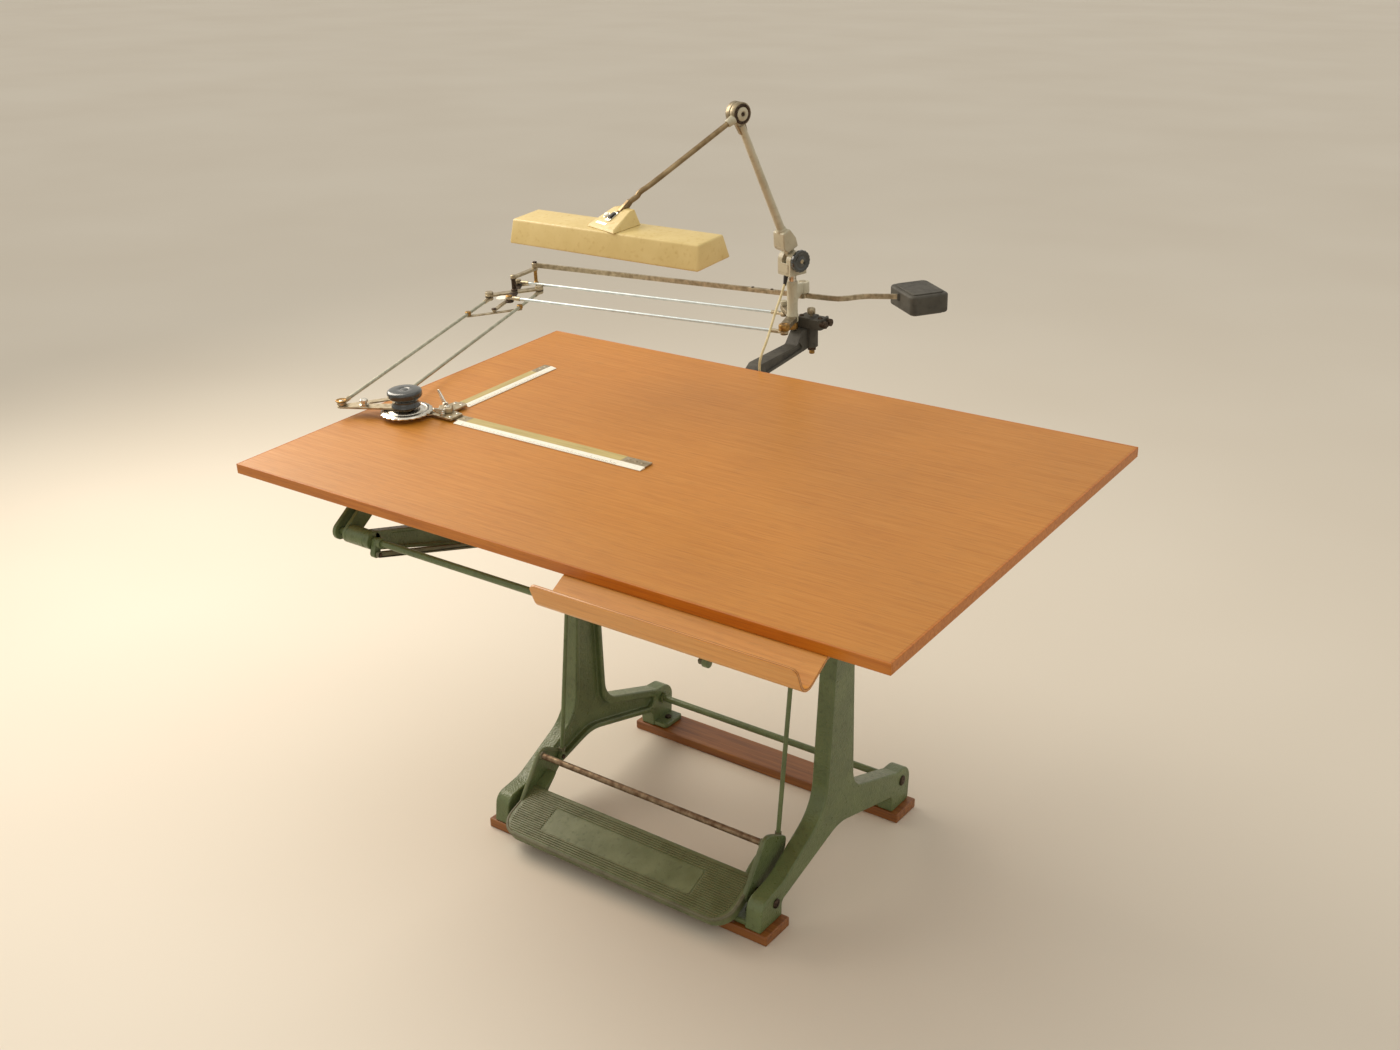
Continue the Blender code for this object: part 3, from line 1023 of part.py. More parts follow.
# ---------------------------------------------------------------- lamp cord
def lamp_cord():
    """From the lamp's foot down behind the board, then wound on a spool under it."""
    run = [(-0.2000, 1.2030, 0.1655), (-0.2010, 1.1990, 0.1500), (-0.1970, 1.1720, 0.1200),
           (-0.1900, 1.1420, 0.1000), (-0.1700, 1.0900, 0.0740), (-0.1560, 1.0450, 0.0520),
           (-0.1530, 1.0220, 0.0300), (-0.1530, 1.0120, 0.0060), (-0.1530, 1.0110, -0.0150),
           (-0.1500, 1.0040, -0.0270), (-0.1400, 0.9900, -0.0290), (-0.0800, 0.9450, -0.0290)]
    coil_in = 0.0297
    coil_out = coil_in + 2 * CORD_R + 2 * GAP
    top = UNDER - 0.0040
    low = top - 0.0520
    meet = COIL_AT + Vector((cos(radians(75)), sin(radians(75)), 0)) * (coil_out + CORD_R + GAP)
    run.append((meet.x - 0.048, meet.y + 0.013, -0.0290))
    run.append((meet.x, meet.y, -0.0290))
    tube("lamp_cord", [on_board(at) for at in run], CORD_R, BOARD_AXIS, CABLE)
    turned("cord_coil", [(coil_in, top), (coil_out, top), (coil_out, low), (coil_in, low), (coil_in, top)],
           BOARD_AXIS, on_board(COIL_AT), CABLE, 28)
    core = coil_in - GAP
    turned("cord_spool", [(0, UNDER), (core, UNDER), (core, low - GAP), (coil_out + 0.010, low - GAP),
                          (coil_out + 0.010, low - GAP - 0.004), (0, low - GAP - 0.004)],
           BOARD_AXIS, on_board(COIL_AT), BLACK, 28)
    plug_at = COIL_AT + Vector((0.120, 0, 0))
    plug = cylinder("lamp_plug", 0.0140, on_board(plug_at + Vector((0, 0.005, -0.0408))),
                    on_board(plug_at + Vector((0, 0.043, -0.0408))), BOARD_AXIS, BLACK, 18, 0.0180)
    pins = [cylinder(f"plug_pin_{i}", 0.0024, on_board(plug_at + Vector((x, 0.040, -0.0408))),
                     on_board(plug_at + Vector((x, 0.062, -0.0408))), BOARD_AXIS, BLACK, 10)
            for i, x in enumerate((-0.0095, 0.0095))]
    tail = tube("plug_tail", [on_board(plug_at + Vector(at)) for at in
                              ((0, 0.012, -0.0408), (0, -0.040, -0.0415), (-0.010, -0.070, -0.0450),
                               (-0.042, -0.085, -0.0520), (-0.072, -0.066, -0.0620),
                               (-0.0850, -0.042, -0.0700))], CORD_R, BOARD_AXIS, BLACK)
    join(plug, tail, *pins)


lamp_cord()
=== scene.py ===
"""The looks of the drafting table: every piece again in its real shape and finish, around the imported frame.

Metres. The stand is built from the middle of its base; what rides on the board is built in board
coordinates: u to the right, v up the board from its front top edge, h square to the drawing surface.
"""

from math import atan2, cos, hypot, pi, radians, sin

import bmesh
import bpy
from mathutils import Matrix, Vector


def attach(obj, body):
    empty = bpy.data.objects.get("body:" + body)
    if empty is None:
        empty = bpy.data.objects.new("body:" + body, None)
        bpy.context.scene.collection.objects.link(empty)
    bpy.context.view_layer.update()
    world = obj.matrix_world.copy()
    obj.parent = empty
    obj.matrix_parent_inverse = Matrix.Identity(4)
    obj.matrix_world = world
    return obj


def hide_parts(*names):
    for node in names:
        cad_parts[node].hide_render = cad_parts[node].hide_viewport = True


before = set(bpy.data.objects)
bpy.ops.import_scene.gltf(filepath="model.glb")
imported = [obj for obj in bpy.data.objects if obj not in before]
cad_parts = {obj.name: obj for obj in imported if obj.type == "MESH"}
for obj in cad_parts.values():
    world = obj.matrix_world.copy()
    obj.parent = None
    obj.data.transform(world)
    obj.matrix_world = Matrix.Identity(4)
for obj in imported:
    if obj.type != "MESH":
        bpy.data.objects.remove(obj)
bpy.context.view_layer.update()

# ------------------------------------------------------------------ measures
V = Vector
STAND = Matrix.Translation((0, 0.277, 0))
TILT = radians(3.2)
BOARD = STAND @ Matrix.Translation((0, -0.590, 0.860)) @ Matrix.Rotation(TILT, 4, "X")
BOARD_W, BOARD_D, BOARD_T = 1.500, 1.000, 0.021
UNDER = -BOARD_T - 0.0003

FRAME_IN, FRAME_OUT = 0.314, 0.352
SOLE_FRONT_Y, SOLE_REAR_Y = -0.277, 0.257
SOLE_L, SOLE_W, SOLE_T = 0.735, 0.086, 0.022
TIE_Y, TIE_Z = 0.255, 0.085
SHAFT = V((0, -0.017, 0.620))
HUB = V((0, -0.555, 0.765))
SHAFT_R = 0.018
LEVER_DIR = (HUB - SHAFT).normalized()
LEVER_UP = V((0, LEVER_DIR.z, -LEVER_DIR.y))
LINK_DROP = 0.0235
LINK_MID = 0.3825
NECK_IN, NECK_OUT = 0.3745, 0.3895
LEVER_IN, LEVER_OUT = 0.400, 0.420
ROLLER_L = 0.7994
REAR_ARM = 0.330
HUB_V, HUB_H = 0.0297, -0.0968
FORK_RISE = radians(34)
PEDAL = V((0, -0.254, 0.064))
PEDAL_BACK = V((0, -0.248, 0.098))
PEDAL_FRONT = V((0, -0.365, 0.050))
PEDAL_W = 0.594
PULL_FOOT = V((0, -0.160, 0.130))
PULL_HEAD = V((0, -0.112, 0.600))
TRAY_U, TRAY_L, TRAY_T = 0.374, 0.530, 0.006

COLUMN = V((-0.195, 1.222, 0))
PIVOT_A, PIVOT_B = V((-0.173, 1.151, 0)), V((-0.252, 1.274, 0))
BAR_HUB = V((-0.223, 1.313, 0))
UPPER_ARM, LOWER_ARM = V((-0.766, -0.111, 0)), V((0.2545, -0.7487, 0))
ELBOW_L, ELBOW_R = V((-1.022, 1.054, 0)), V((-0.946, 1.165, 0))
ELBOW_A, ELBOW_B, BAR_END = PIVOT_A + UPPER_ARM, PIVOT_B + UPPER_ARM, BAR_HUB + UPPER_ARM
ELBOW_MID = (ELBOW_L + ELBOW_R) / 2
HEAD_A, HEAD_B = ELBOW_L + LOWER_ARM, ELBOW_R + LOWER_ARM
CROSSBAR_AT = 0.17
PROTRACTOR = V((-0.642, 0.374, 0))
CHUCK = V((-0.575, 0.425, 0))
UPPER_H, LOWER_H, BAR_H = 0.046, 0.028, 0.086
ROD_R = 0.0040

LAMP_TURN = radians(-106.9)
LAMP = BOARD @ Matrix.Translation(COLUMN) @ Matrix.Rotation(LAMP_TURN, 4, "Z")
LAMP_BASE = V((0, 0, 0.202))
LAMP_ELBOW = V((0.153, 0, 0.558))
LAMP_BEND = V((0.4405, 0, 0.4249))
LAMP_FOOT = V((0.4760, 0, 0.3960))
SADDLE = LAMP @ Matrix.Translation(LAMP_FOOT) @ Matrix.Rotation(radians(2.6), 4, "Y")
SADDLE_FLOOR = 0.3693 - 0.3960
SHADE = SADDLE @ Matrix.Translation((0.023, 0, SADDLE_FLOOR - 0.0003))
SHADE = SHADE @ Matrix.Rotation(-LAMP_TURN + radians(-1.1), 4, "Z")
SHADE_L, SHADE_TOP_W, SHADE_LOW_W, SHADE_DEEP = 0.519, 0.086, 0.115, 0.052
CORD_R = 0.0030
COIL_AT = V((0.040, 0.860, 0))


# ------------------------------------------------------------------ finishes
# Sockets of the colour mixing node, which are told apart by their place only.
SHARE, FIRST, SECOND, BLEND = 0, 6, 7, 2


def colour(hexcode):
    """An sRGB hex value as the linear colour that shaders work in."""
    parts = [int(hexcode[i:i + 2], 16) / 255 for i in (1, 3, 5)]
    return (*[c / 12.92 if c <= 0.04045 else ((c + 0.055) / 1.055) ** 2.4 for c in parts], 1)


def add(tree, kind, settings=None, links=None, stops=()):
    """Adds one node, sets its properties, inputs and ramp stops, and links sockets into its inputs."""
    made = tree.nodes.new(kind)
    for key, value in (settings or {}).items():
        if isinstance(key, str) and hasattr(made, key):
            setattr(made, key, value)
        else:
            made.inputs[key].default_value = value
    for key, socket in (links or {}).items():
        tree.links.new(socket, made.inputs[key])
    for i, (at, tone) in enumerate(stops):
        marks = made.color_ramp.elements
        mark = marks[i] if i < len(marks) else marks.new(at)
        mark.position = at
        mark.color = colour(tone) if isinstance(tone, str) else (tone, tone, tone, 1)
    return made


def begin(name, **shader):
    """A new finish: its tree, its shader with fixed values set, and coordinates in metres."""
    made = bpy.data.materials.new(name)
    made.use_nodes = True
    tree = made.node_tree
    surface = tree.nodes["Principled BSDF"]
    for key, value in shader.items():
        surface.inputs[key.replace("_", " ")].default_value = value
    place = add(tree, "ShaderNodeTexCoord").outputs["Object"]
    return made, tree, surface, place


def worn_edges(tree, place, start, full):
    """A share from 0 to 1 that is high along sharp edges, broken up by patches 12 mm across."""
    eased = add(tree, "ShaderNodeBevel", {"samples": 4, "Radius": 0.0022}).outputs[0]
    flat = add(tree, "ShaderNodeNewGeometry").outputs["Normal"]
    same = add(tree, "ShaderNodeVectorMath", {"operation": "DOT_PRODUCT"},
               {0: eased, 1: flat}).outputs["Value"]
    off = add(tree, "ShaderNodeMath", {"operation": "SUBTRACT", 0: 1.0}, {1: same}).outputs[0]
    patches = add(tree, "ShaderNodeTexNoise", {"Scale": 1 / 0.012, "Detail": 4.0}, {"Vector": place})
    both = add(tree, "ShaderNodeMath", {"operation": "MULTIPLY_ADD", 1: 2.2},
               {0: off, 2: patches.outputs["Fac"]}).outputs[0]
    return add(tree, "ShaderNodeMapRange", {"From Min": start, "From Max": full},
               {"Value": both}).outputs[0]


def paint(name, light, dark, bare, rough, cell, depth, wear=(0.78, 1.0)):
    """Sprayed enamel: drifts between two tones, with grime in it and the metal bare along its edges."""
    made, tree, surface, place = begin(name, IOR=1.5)
    drift = add(tree, "ShaderNodeTexNoise", {"Scale": 1 / 0.055, "Detail": 4.0}, {"Vector": place})
    tone = add(tree, "ShaderNodeValToRGB", None, {"Fac": drift.outputs["Fac"]},
               ((0.32, dark), (0.68, light)))
    grime = add(tree, "ShaderNodeTexNoise", {"Scale": 1 / 0.011, "Detail": 5.0},
                {"Vector": place}).outputs["Fac"]
    soil = add(tree, "ShaderNodeValToRGB", None, {"Fac": grime}, ((0.56, 0.0), (0.80, 0.45)))
    dirty = add(tree, "ShaderNodeMix", {"data_type": "RGBA", "blend_type": "MULTIPLY",
                                        SECOND: colour(dark)}, {SHARE: soil.outputs["Color"],
                                                                FIRST: tone.outputs["Color"]})
    worn = add(tree, "ShaderNodeMix", {"data_type": "RGBA", SECOND: colour(bare)},
               {SHARE: worn_edges(tree, place, *wear), FIRST: dirty.outputs[BLEND]})
    tree.links.new(worn.outputs[BLEND], surface.inputs["Base Color"])
    gloss = add(tree, "ShaderNodeValToRGB", None, {"Fac": grime},
                ((0.30, rough - 0.06), (0.75, rough + 0.12)))
    tree.links.new(gloss.outputs["Color"], surface.inputs["Roughness"])
    cells = add(tree, "ShaderNodeTexVoronoi", {"feature": "SMOOTH_F1", "Scale": 1 / cell},
                {"Vector": place})
    beads = add(tree, "ShaderNodeBump", {"Distance": depth, "Strength": 1.0},
                {"Height": cells.outputs["Distance"]})
    tree.links.new(beads.outputs[0], surface.inputs["Normal"])
    return made


def metal(name, light, dark, rough, grain=0.0, stretch=(1, 1, 1), spread=0.10, patch=0.020):
    """Bare or plated metal: even colour, tarnished in patches, with a fine drawn grain."""
    made, tree, surface, place = begin(name, Metallic=1.0)
    cloud = add(tree, "ShaderNodeTexNoise", {"Scale": 1 / patch, "Detail": 4.0},
                {"Vector": place}).outputs["Fac"]
    tone = add(tree, "ShaderNodeValToRGB", None, {"Fac": cloud}, ((0.35, dark), (0.66, light)))
    gloss = add(tree, "ShaderNodeValToRGB", None, {"Fac": cloud}, ((0.30, rough + spread), (0.70, rough)))
    tree.links.new(tone.outputs["Color"], surface.inputs["Base Color"])
    tree.links.new(gloss.outputs["Color"], surface.inputs["Roughness"])
    if grain:
        drawn = add(tree, "ShaderNodeMapping", {"Scale": stretch}, {"Vector": place}).outputs[0]
        fine = add(tree, "ShaderNodeTexNoise", {"Scale": 1 / grain, "Detail": 2.0}, {"Vector": drawn})
        lines = add(tree, "ShaderNodeBump", {"Distance": 0.00006, "Strength": 1.0},
                    {"Height": fine.outputs["Fac"]})
        tree.links.new(lines.outputs[0], surface.inputs["Normal"])
    return made


def timber(name, light, mid, dark, rough, along, ring=0.010, pore=0.0009, coat=0.0, depth=0.00008):
    """Varnished wood: long streaks, finer pores, and a slow drift of tone; along is 0, 1 or 2."""
    made, tree, surface, place = begin(name, Coat_Weight=coat, Coat_Roughness=0.18, IOR=1.5)
    stretch = [1.0, 1.0, 1.0]
    stretch[along] = 0.030
    drawn = add(tree, "ShaderNodeMapping", {"Scale": stretch}, {"Vector": place}).outputs[0]
    streak = add(tree, "ShaderNodeTexNoise", {"Scale": 1 / ring, "Detail": 5.0, "Roughness": 0.62},
                 {"Vector": drawn}).outputs["Fac"]
    tone = add(tree, "ShaderNodeValToRGB", None, {"Fac": streak},
               ((0.28, dark), (0.50, mid), (0.74, light)))
    pores = add(tree, "ShaderNodeTexNoise", {"Scale": 1 / pore, "Detail": 2.0},
                {"Vector": drawn}).outputs["Fac"]
    fleck = add(tree, "ShaderNodeValToRGB", None, {"Fac": pores}, ((0.52, 1.0), (0.70, 0.80)))
    shaded = add(tree, "ShaderNodeMix", {"data_type": "RGBA", "blend_type": "MULTIPLY", SHARE: 1.0},
                 {FIRST: tone.outputs["Color"], SECOND: fleck.outputs["Color"]})
    slow = add(tree, "ShaderNodeTexNoise", {"Scale": 1 / 0.35, "Detail": 2.0}, {"Vector": place})
    drift = add(tree, "ShaderNodeValToRGB", None, {"Fac": slow.outputs["Fac"]}, ((0.35, 0.90), (0.70, 1.0)))
    whole = add(tree, "ShaderNodeMix", {"data_type": "RGBA", "blend_type": "MULTIPLY", SHARE: 1.0},
                {FIRST: shaded.outputs[BLEND], SECOND: drift.outputs["Color"]})
    tree.links.new(whole.outputs[BLEND], surface.inputs["Base Color"])
    gloss = add(tree, "ShaderNodeValToRGB", None, {"Fac": streak}, ((0.30, rough + 0.08), (0.70, rough)))
    tree.links.new(gloss.outputs["Color"], surface.inputs["Roughness"])
    open_grain = add(tree, "ShaderNodeBump", {"Distance": depth, "Strength": 1.0}, {"Height": pores})
    tree.links.new(open_grain.outputs[0], surface.inputs["Normal"])
    return made


def plastic(name, tone, deep, rough, speck=0.004, coat=0.0):
    """Moulded plastic or rubber: one tone with faint clouding and fingerprints in its gloss."""
    made, tree, surface, place = begin(name, Coat_Weight=coat, Coat_Roughness=0.08, IOR=1.54)
    cloud = add(tree, "ShaderNodeTexNoise", {"Scale": 1 / speck, "Detail": 3.0}, {"Vector": place})
    body = add(tree, "ShaderNodeValToRGB", None, {"Fac": cloud.outputs["Fac"]},
               ((0.30, deep), (0.70, tone)))
    tree.links.new(body.outputs["Color"], surface.inputs["Base Color"])
    prints = add(tree, "ShaderNodeTexNoise", {"Scale": 1 / 0.014, "Detail": 4.0}, {"Vector": place})
    gloss = add(tree, "ShaderNodeValToRGB", None, {"Fac": prints.outputs["Fac"]},
                ((0.35, rough), (0.75, rough + 0.14)))
    tree.links.new(gloss.outputs["Color"], surface.inputs["Roughness"])
    return made


# Hammer-finish enamel on cast iron: beads of paint that catch the light, worn to brown iron on the edges.
HAMMER = paint("hammer_green_enamel", "#667349", "#57633E", "#5A4632", 0.32, 0.0036, 0.00075, (0.86, 1.10))
# The same enamel on the tread, scuffed by shoes: more bare iron shows.
TREAD = paint("scuffed_tread_enamel", "#6C7450", "#565F3A", "#74603F", 0.42, 0.0030, 0.00030, (0.70, 0.98))
# Bare iron where the casting's face is rubbed: brown and dull.
RUBBED = paint("rubbed_iron", "#6B6A4E", "#57553E", "#5A4632", 0.50, 0.0030, 0.00030, (0.66, 0.94))
# Drawn steel bar whose paint is mostly gone: rust brown with green left in patches.
BAR_STEEL = metal("rusted_bar_steel", "#9A8870", "#6E5946", 0.46, 0.0010, (0.05, 1, 1), 0.16, 0.014)
# Beech beams under brown varnish gone dull.
BEAM = timber("brown_varnished_beech", "#98601F", "#864E17", "#66380F", 0.50, 0, 0.009, 0.0010, 0.2)
# Gaboon-faced drawing board: orange varnish, fine straight grain along its length.
VENEER = timber("varnished_gaboon_face", "#C6842A", "#BE7A1E", "#B46F18", 0.46, 0, 0.0060, 0.0012, 0.12,
                0.00004)
# Lipping of solid beech round the board, brighter than the face.
LIPPING = timber("orange_beech_lipping", "#CC7C1C", "#BE6E10", "#AC5C08", 0.42, 0, 0.006, 0.0011, 0.15,
                 0.00005)
# Bent beech ply: its pale varnished outside.
PLY = timber("bent_beech_face", "#E4A452", "#DA9643", "#CB8330", 0.32, 0, 0.008, 0.0010, 0.25, 0.00004)
# The inside of the tray, smooth and a little more orange than its edge.
PLY_IN = timber("tray_inside_varnish", "#DC9E4C", "#D09040", "#BE7C2C", 0.36, 0, 0.008, 0.0010, 0.15,
                0.00004)
# The glue-soaked layers between, which show as brown lines on the edges.
PLY_CORE = timber("bent_beech_core", "#B87A3C", "#A86A30", "#925824", 0.42, 0, 0.008, 0.0010, 0.2)
# Dark grey stoving paint on cast iron.
IRON = paint("grey_stoved_iron", "#47443B", "#35322B", "#5C5546", 0.56, 0.0024, 0.00016, (0.86, 1.12))
# Grey-cream enamel of the lamp arms and column, chipped to steel.
CREAM = paint("grey_cream_enamel", "#BDB7A0", "#AAA38B", "#6C6250", 0.36, 0.0040, 0.00010, (0.86, 1.10))
# Mustard-cream enamel on the shade's folded sheet.
MUSTARD = paint("mustard_cream_enamel", "#D6C083", "#CDB677", "#AC9158", 0.40, 0.0050, 0.00008,
                (1.00, 1.30))
# White stoved enamel that throws the tube's light down.
INSIDE = paint("white_reflector_enamel", "#EFEBDD", "#E2DCCA", "#CFC8B4", 0.34, 0.0050, 0.00006,
               (1.10, 1.40))
# Anodised drawn tube, cool and satin.
ALLOY = metal("anodised_tube", "#D3DBDC", "#C2CBCC", 0.42, 0.0, (0.05, 1, 1), 0.06)
# The same tube gone dull and grey-green, on the lower arm.
DULL_ALLOY = metal("dulled_tube", "#B9B9A8", "#A3A392", 0.48, 0.0, (0.05, 1, 1), 0.08)
# Nickel plate gone yellow-brown.
NICKEL = metal("tarnished_nickel", "#C2B69C", "#978A72", 0.34, 0.0008, (0.2, 1, 1), 0.16, 0.012)
# Bright chrome plate, and brass where the plate is gone.
CHROME = metal("bright_chrome", "#E4E1D8", "#C4BFB2", 0.20, 0.0, (1, 1, 1), 0.10, 0.016)
BRASS = metal("aged_brass", "#B08A4E", "#7E5F34", 0.36, 0.0, (1, 1, 1), 0.14, 0.006)
# Oil-blackened steel of screws and pins.
BLACKED = metal("blackened_steel", "#5A4C40", "#3A3029", 0.46, 0.0, (1, 1, 1), 0.14, 0.005)
# Brown-bronze lacquered tube of the lamp's thin arm.
BRONZE = metal("bronzed_tube", "#9C8868", "#7A674B", 0.30, 0.0008, (0.05, 1, 1), 0.12, 0.030)
# Bakelite: deep, glossy, a little grey with age.
BAKELITE = plastic("aged_bakelite", "#2A3030", "#1C2222", 0.16, 0.004, 0.6)
# Switch plastic, duller than the knobs.
SWITCH_BLACK = plastic("switch_black", "#1E1C1A", "#141312", 0.34)
# Browned die-cast of the lamp's elbow.
AGED_CAST = metal("browned_die_cast", "#A69B84", "#7F735D", 0.44, 0.0, (1, 1, 1), 0.12, 0.010)
# Celluloid edge of the rules and push buttons: milk white, slightly yellow in its depth.
WHITE = plastic("white_celluloid", "#F2EFE4", "#E6E2D2", 0.30)
# Boxwood: close-grained, yellow-green under old varnish.
BOXWOOD = timber("boxwood_rule", "#C6B472", "#BBA864", "#A99553", 0.40, 0, 0.004, 0.0008, 0.3)
# Black filling in cut marks, flat and dry.
INK = plastic("engraved_ink", "#2B2720", "#1E1B16", 0.55)
# Soft PVC sheath, yellowed, with a dull sheen.
CORD = plastic("cream_pvc_cord", "#CDBE93", "#B7A778", 0.44, 0.010)
# Glass tube coated white inside: even, bright and glossy.
GLASS_TUBE = plastic("phosphor_white_tube", "#F4F3EC", "#EAE8DE", 0.12, 0.05, 0.8)
# Moulded rubber of the plug and spool: black with almost no shine.
BLACK_RUBBER = plastic("black_rubber", "#24221F", "#181715", 0.60)


# ------------------------------------------------------------------ shaping
def from_form(name, form):
    """Turns a finished form into a piece in the scene."""
    bmesh.ops.recalc_face_normals(form, faces=form.faces)
    mesh = bpy.data.meshes.new(name)
    form.to_mesh(mesh)
    form.free()
    made = bpy.data.objects.new(name, mesh)
    bpy.context.scene.collection.objects.link(made)
    return made


def brick(name, size, at=(0, 0, 0), turn=(0, 0, 0)):
    """A square-edged body of this size, turned about its own middle."""
    form = bmesh.new()
    bmesh.ops.create_cube(form, size=1)
    spin = Matrix.Rotation(turn[2], 4, "Z") @ Matrix.Rotation(turn[1], 4, "Y")
    spin = spin @ Matrix.Rotation(turn[0], 4, "X")
    bmesh.ops.transform(form, matrix=Matrix.Translation(at) @ spin @ Matrix.Diagonal((*size, 1)),
                        verts=form.verts)
    return from_form(name, form)


def rounded(outline, steps=8):
    """An outline with an arc in place of each corner that is given as (x, y, radius)."""
    points, count = [], len(outline)
    for i, corner in enumerate(outline):
        at = V(corner[:2])
        if len(corner) == 2:
            points.append(at)
            continue
        back = (V(outline[i - 1][:2]) - at).normalized()
        ahead = (V(outline[(i + 1) % count][:2]) - at).normalized()
        half = back.angle(ahead) / 2
        middle = at + (back + ahead).normalized() * (corner[2] / sin(half))
        first = at + back * corner[2] * cos(half) / sin(half) - middle
        sweep = (pi - 2 * half) * (1 if back.cross(ahead) < 0 else -1)
        points += [middle + Matrix.Rotation(sweep * k / steps, 2) @ first for k in range(steps + 1)]
    return points


def bar_ends(start, end, width, far_width=None):
    """The outline of a straight bar with round ends, which may taper."""
    start, end = V(start[:2]), V(end[:2])
    far = width if far_width is None else far_width
    along = (end - start).normalized()
    across = V((-along.y, along.x))
    points, steps = [], 12
    for middle, first, wide in ((end, -across, far), (start, across, width)):
        points += [middle + Matrix.Rotation(pi * k / steps, 2) @ first * wide / 2 for k in range(steps + 1)]
    return points


LIE = {"flat": Matrix.Identity(3), "side": Matrix(((0, 0, 1), (1, 0, 0), (0, 1, 0))),
       "front": Matrix(((1, 0, 0), (0, 0, -1), (0, 1, 0)))}


def oblong(left, right, low, high, corner):
    """The outline of a rectangle with four equal rounded corners."""
    return [(left, low, corner), (right, low, corner), (right, high, corner), (left, high, corner)]


def slab(name, outline, thick, at=(0, 0, 0), lie="flat"):
    """A plate of this outline, centred on its place through its thickness."""
    turn = LIE[lie]
    flat = outline if isinstance(outline[0], Vector) else rounded(outline)
    form = bmesh.new()
    rings = []
    for level in (-thick / 2, thick / 2):
        rings.append([form.verts.new(V(at) + turn @ V((p.x, p.y, level))) for p in flat])
    form.faces.new(rings[0][::-1])
    form.faces.new(rings[1])
    count = len(flat)
    for i in range(count):
        j = (i + 1) % count
        form.faces.new((rings[0][i], rings[0][j], rings[1][j], rings[1][i]))
    return from_form(name, form)


def lathe(name, profile, at=(0, 0, 0), axis=(0, 0, 1), steps=40, ripple=None):
    """A turned body: (radius, height) from one end to the other; ripple scallops its radius."""
    form = bmesh.new()
    rings = []
    for r, z in profile:
        if r < 1e-6:
            rings.append([form.verts.new((0, 0, z))])
            continue
        ring = []
        for k in range(steps):
            turn = 2 * pi * k / steps
            wide = r * (1 + (ripple(turn, r) if ripple else 0))
            ring.append(form.verts.new((wide * cos(turn), wide * sin(turn), z)))
        rings.append(ring)
    for low, high in zip(rings, rings[1:]):
        if len(low) == 1 and len(high) == 1:
            continue
        for k in range(steps):
            j = (k + 1) % steps
            if len(low) == 1:
                form.faces.new((low[0], high[j], high[k]))
            elif len(high) == 1:
                form.faces.new((low[k], low[j], high[0]))
            else:
                form.faces.new((low[k], low[j], high[j], high[k]))
    spin = V((0, 0, 1)).rotation_difference(V(axis)).to_matrix().to_4x4()
    bmesh.ops.transform(form, matrix=Matrix.Translation(at) @ spin, verts=form.verts)
    return from_form(name, form)


def rod(name, start, end, radius, far=None, lip=0.0006, steps=28):
    """A round bar between two places with eased ends."""
    start, end = V(start), V(end)
    long = (end - start).length
    far = radius if far is None else far
    profile = [(0, 0), (radius - lip, 0), (radius, lip), (far, long - lip), (far - lip, long), (0, long)]
    return lathe(name, profile, start, end - start, steps)


def smooth_path(points, steps=10):
    """A rounded route through the given places."""
    points = [V(p) for p in points]
    padded = [points[0] * 2 - points[1], *points, points[-1] * 2 - points[-2]]
    route = []
    for i in range(1, len(padded) - 2):
        a, b, c, d = padded[i - 1:i + 3]
        for k in range(steps):
            t = k / steps
            route.append(0.5 * ((2 * b) + (c - a) * t + (2 * a - 5 * b + 4 * c - d) * t * t
                                + (3 * b - a - 3 * c + d) * t ** 3))
    route.append(points[-1])
    return route


def sweep(name, route, radius, steps=12):
    """A round section carried along a route, closed at both ends; radius may be a function of the share."""
    route = [V(p) for p in route]
    form = bmesh.new()
    rings = []
    side = None
    for i, at in enumerate(route):
        ahead = (route[min(i + 1, len(route) - 1)] - route[max(i - 1, 0)]).normalized()
        if side is None:
            side = ahead.orthogonal().normalized()
        side = (side - ahead * side.dot(ahead)).normalized()
        up = ahead.cross(side)
        wide = radius(i / (len(route) - 1)) if callable(radius) else radius
        turns = [2 * pi * k / steps for k in range(steps)]
        rings.append([form.verts.new(at + (side * cos(turn) + up * sin(turn)) * wide) for turn in turns])
    for low, high in zip(rings, rings[1:]):
        for k in range(steps):
            j = (k + 1) % steps
            form.faces.new((low[k], low[j], high[j], high[k]))
    form.faces.new(rings[0][::-1])
    form.faces.new(rings[-1])
    return from_form(name, form)


def carve(obj, *tools):
    """Cuts the tools out of the piece, and removes them."""
    for tool in tools:
        step = obj.modifiers.new("carve", "BOOLEAN")
        step.operation = "DIFFERENCE"
        step.solver = "EXACT"
        step.object = tool
        graph = bpy.context.evaluated_depsgraph_get()
        mesh = bpy.data.meshes.new_from_object(obj.evaluated_get(graph))
        obj.modifiers.clear()
        obj.data = mesh
        bpy.data.objects.remove(tool, do_unlink=True)
    return obj


def fit(obj, home, finish, body, node=None, edge=0.0, rounds=2, crease=35):
    """Places a piece, finishes it, eases its edges and lets it ride; node is the CAD piece it stands for."""
    obj.matrix_world = home
    obj.data.materials.clear()
    obj.data.materials.append(finish)
    if edge:
        ease = obj.modifiers.new("eased edges", "BEVEL")
        ease.width = edge
        ease.segments = rounds
        ease.limit_method = "ANGLE"
        ease.angle_limit = radians(crease)
        ease.use_clamp_overlap = True
    obj.data.shade_smooth()
    if edge:
        obj.modifiers.new("even shading", "WEIGHTED_NORMAL").keep_sharp = True
    obj.data.set_sharp_from_angle(angle=radians(crease + 3))
    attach(obj, body)
    if node:
        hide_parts(node)
    return obj


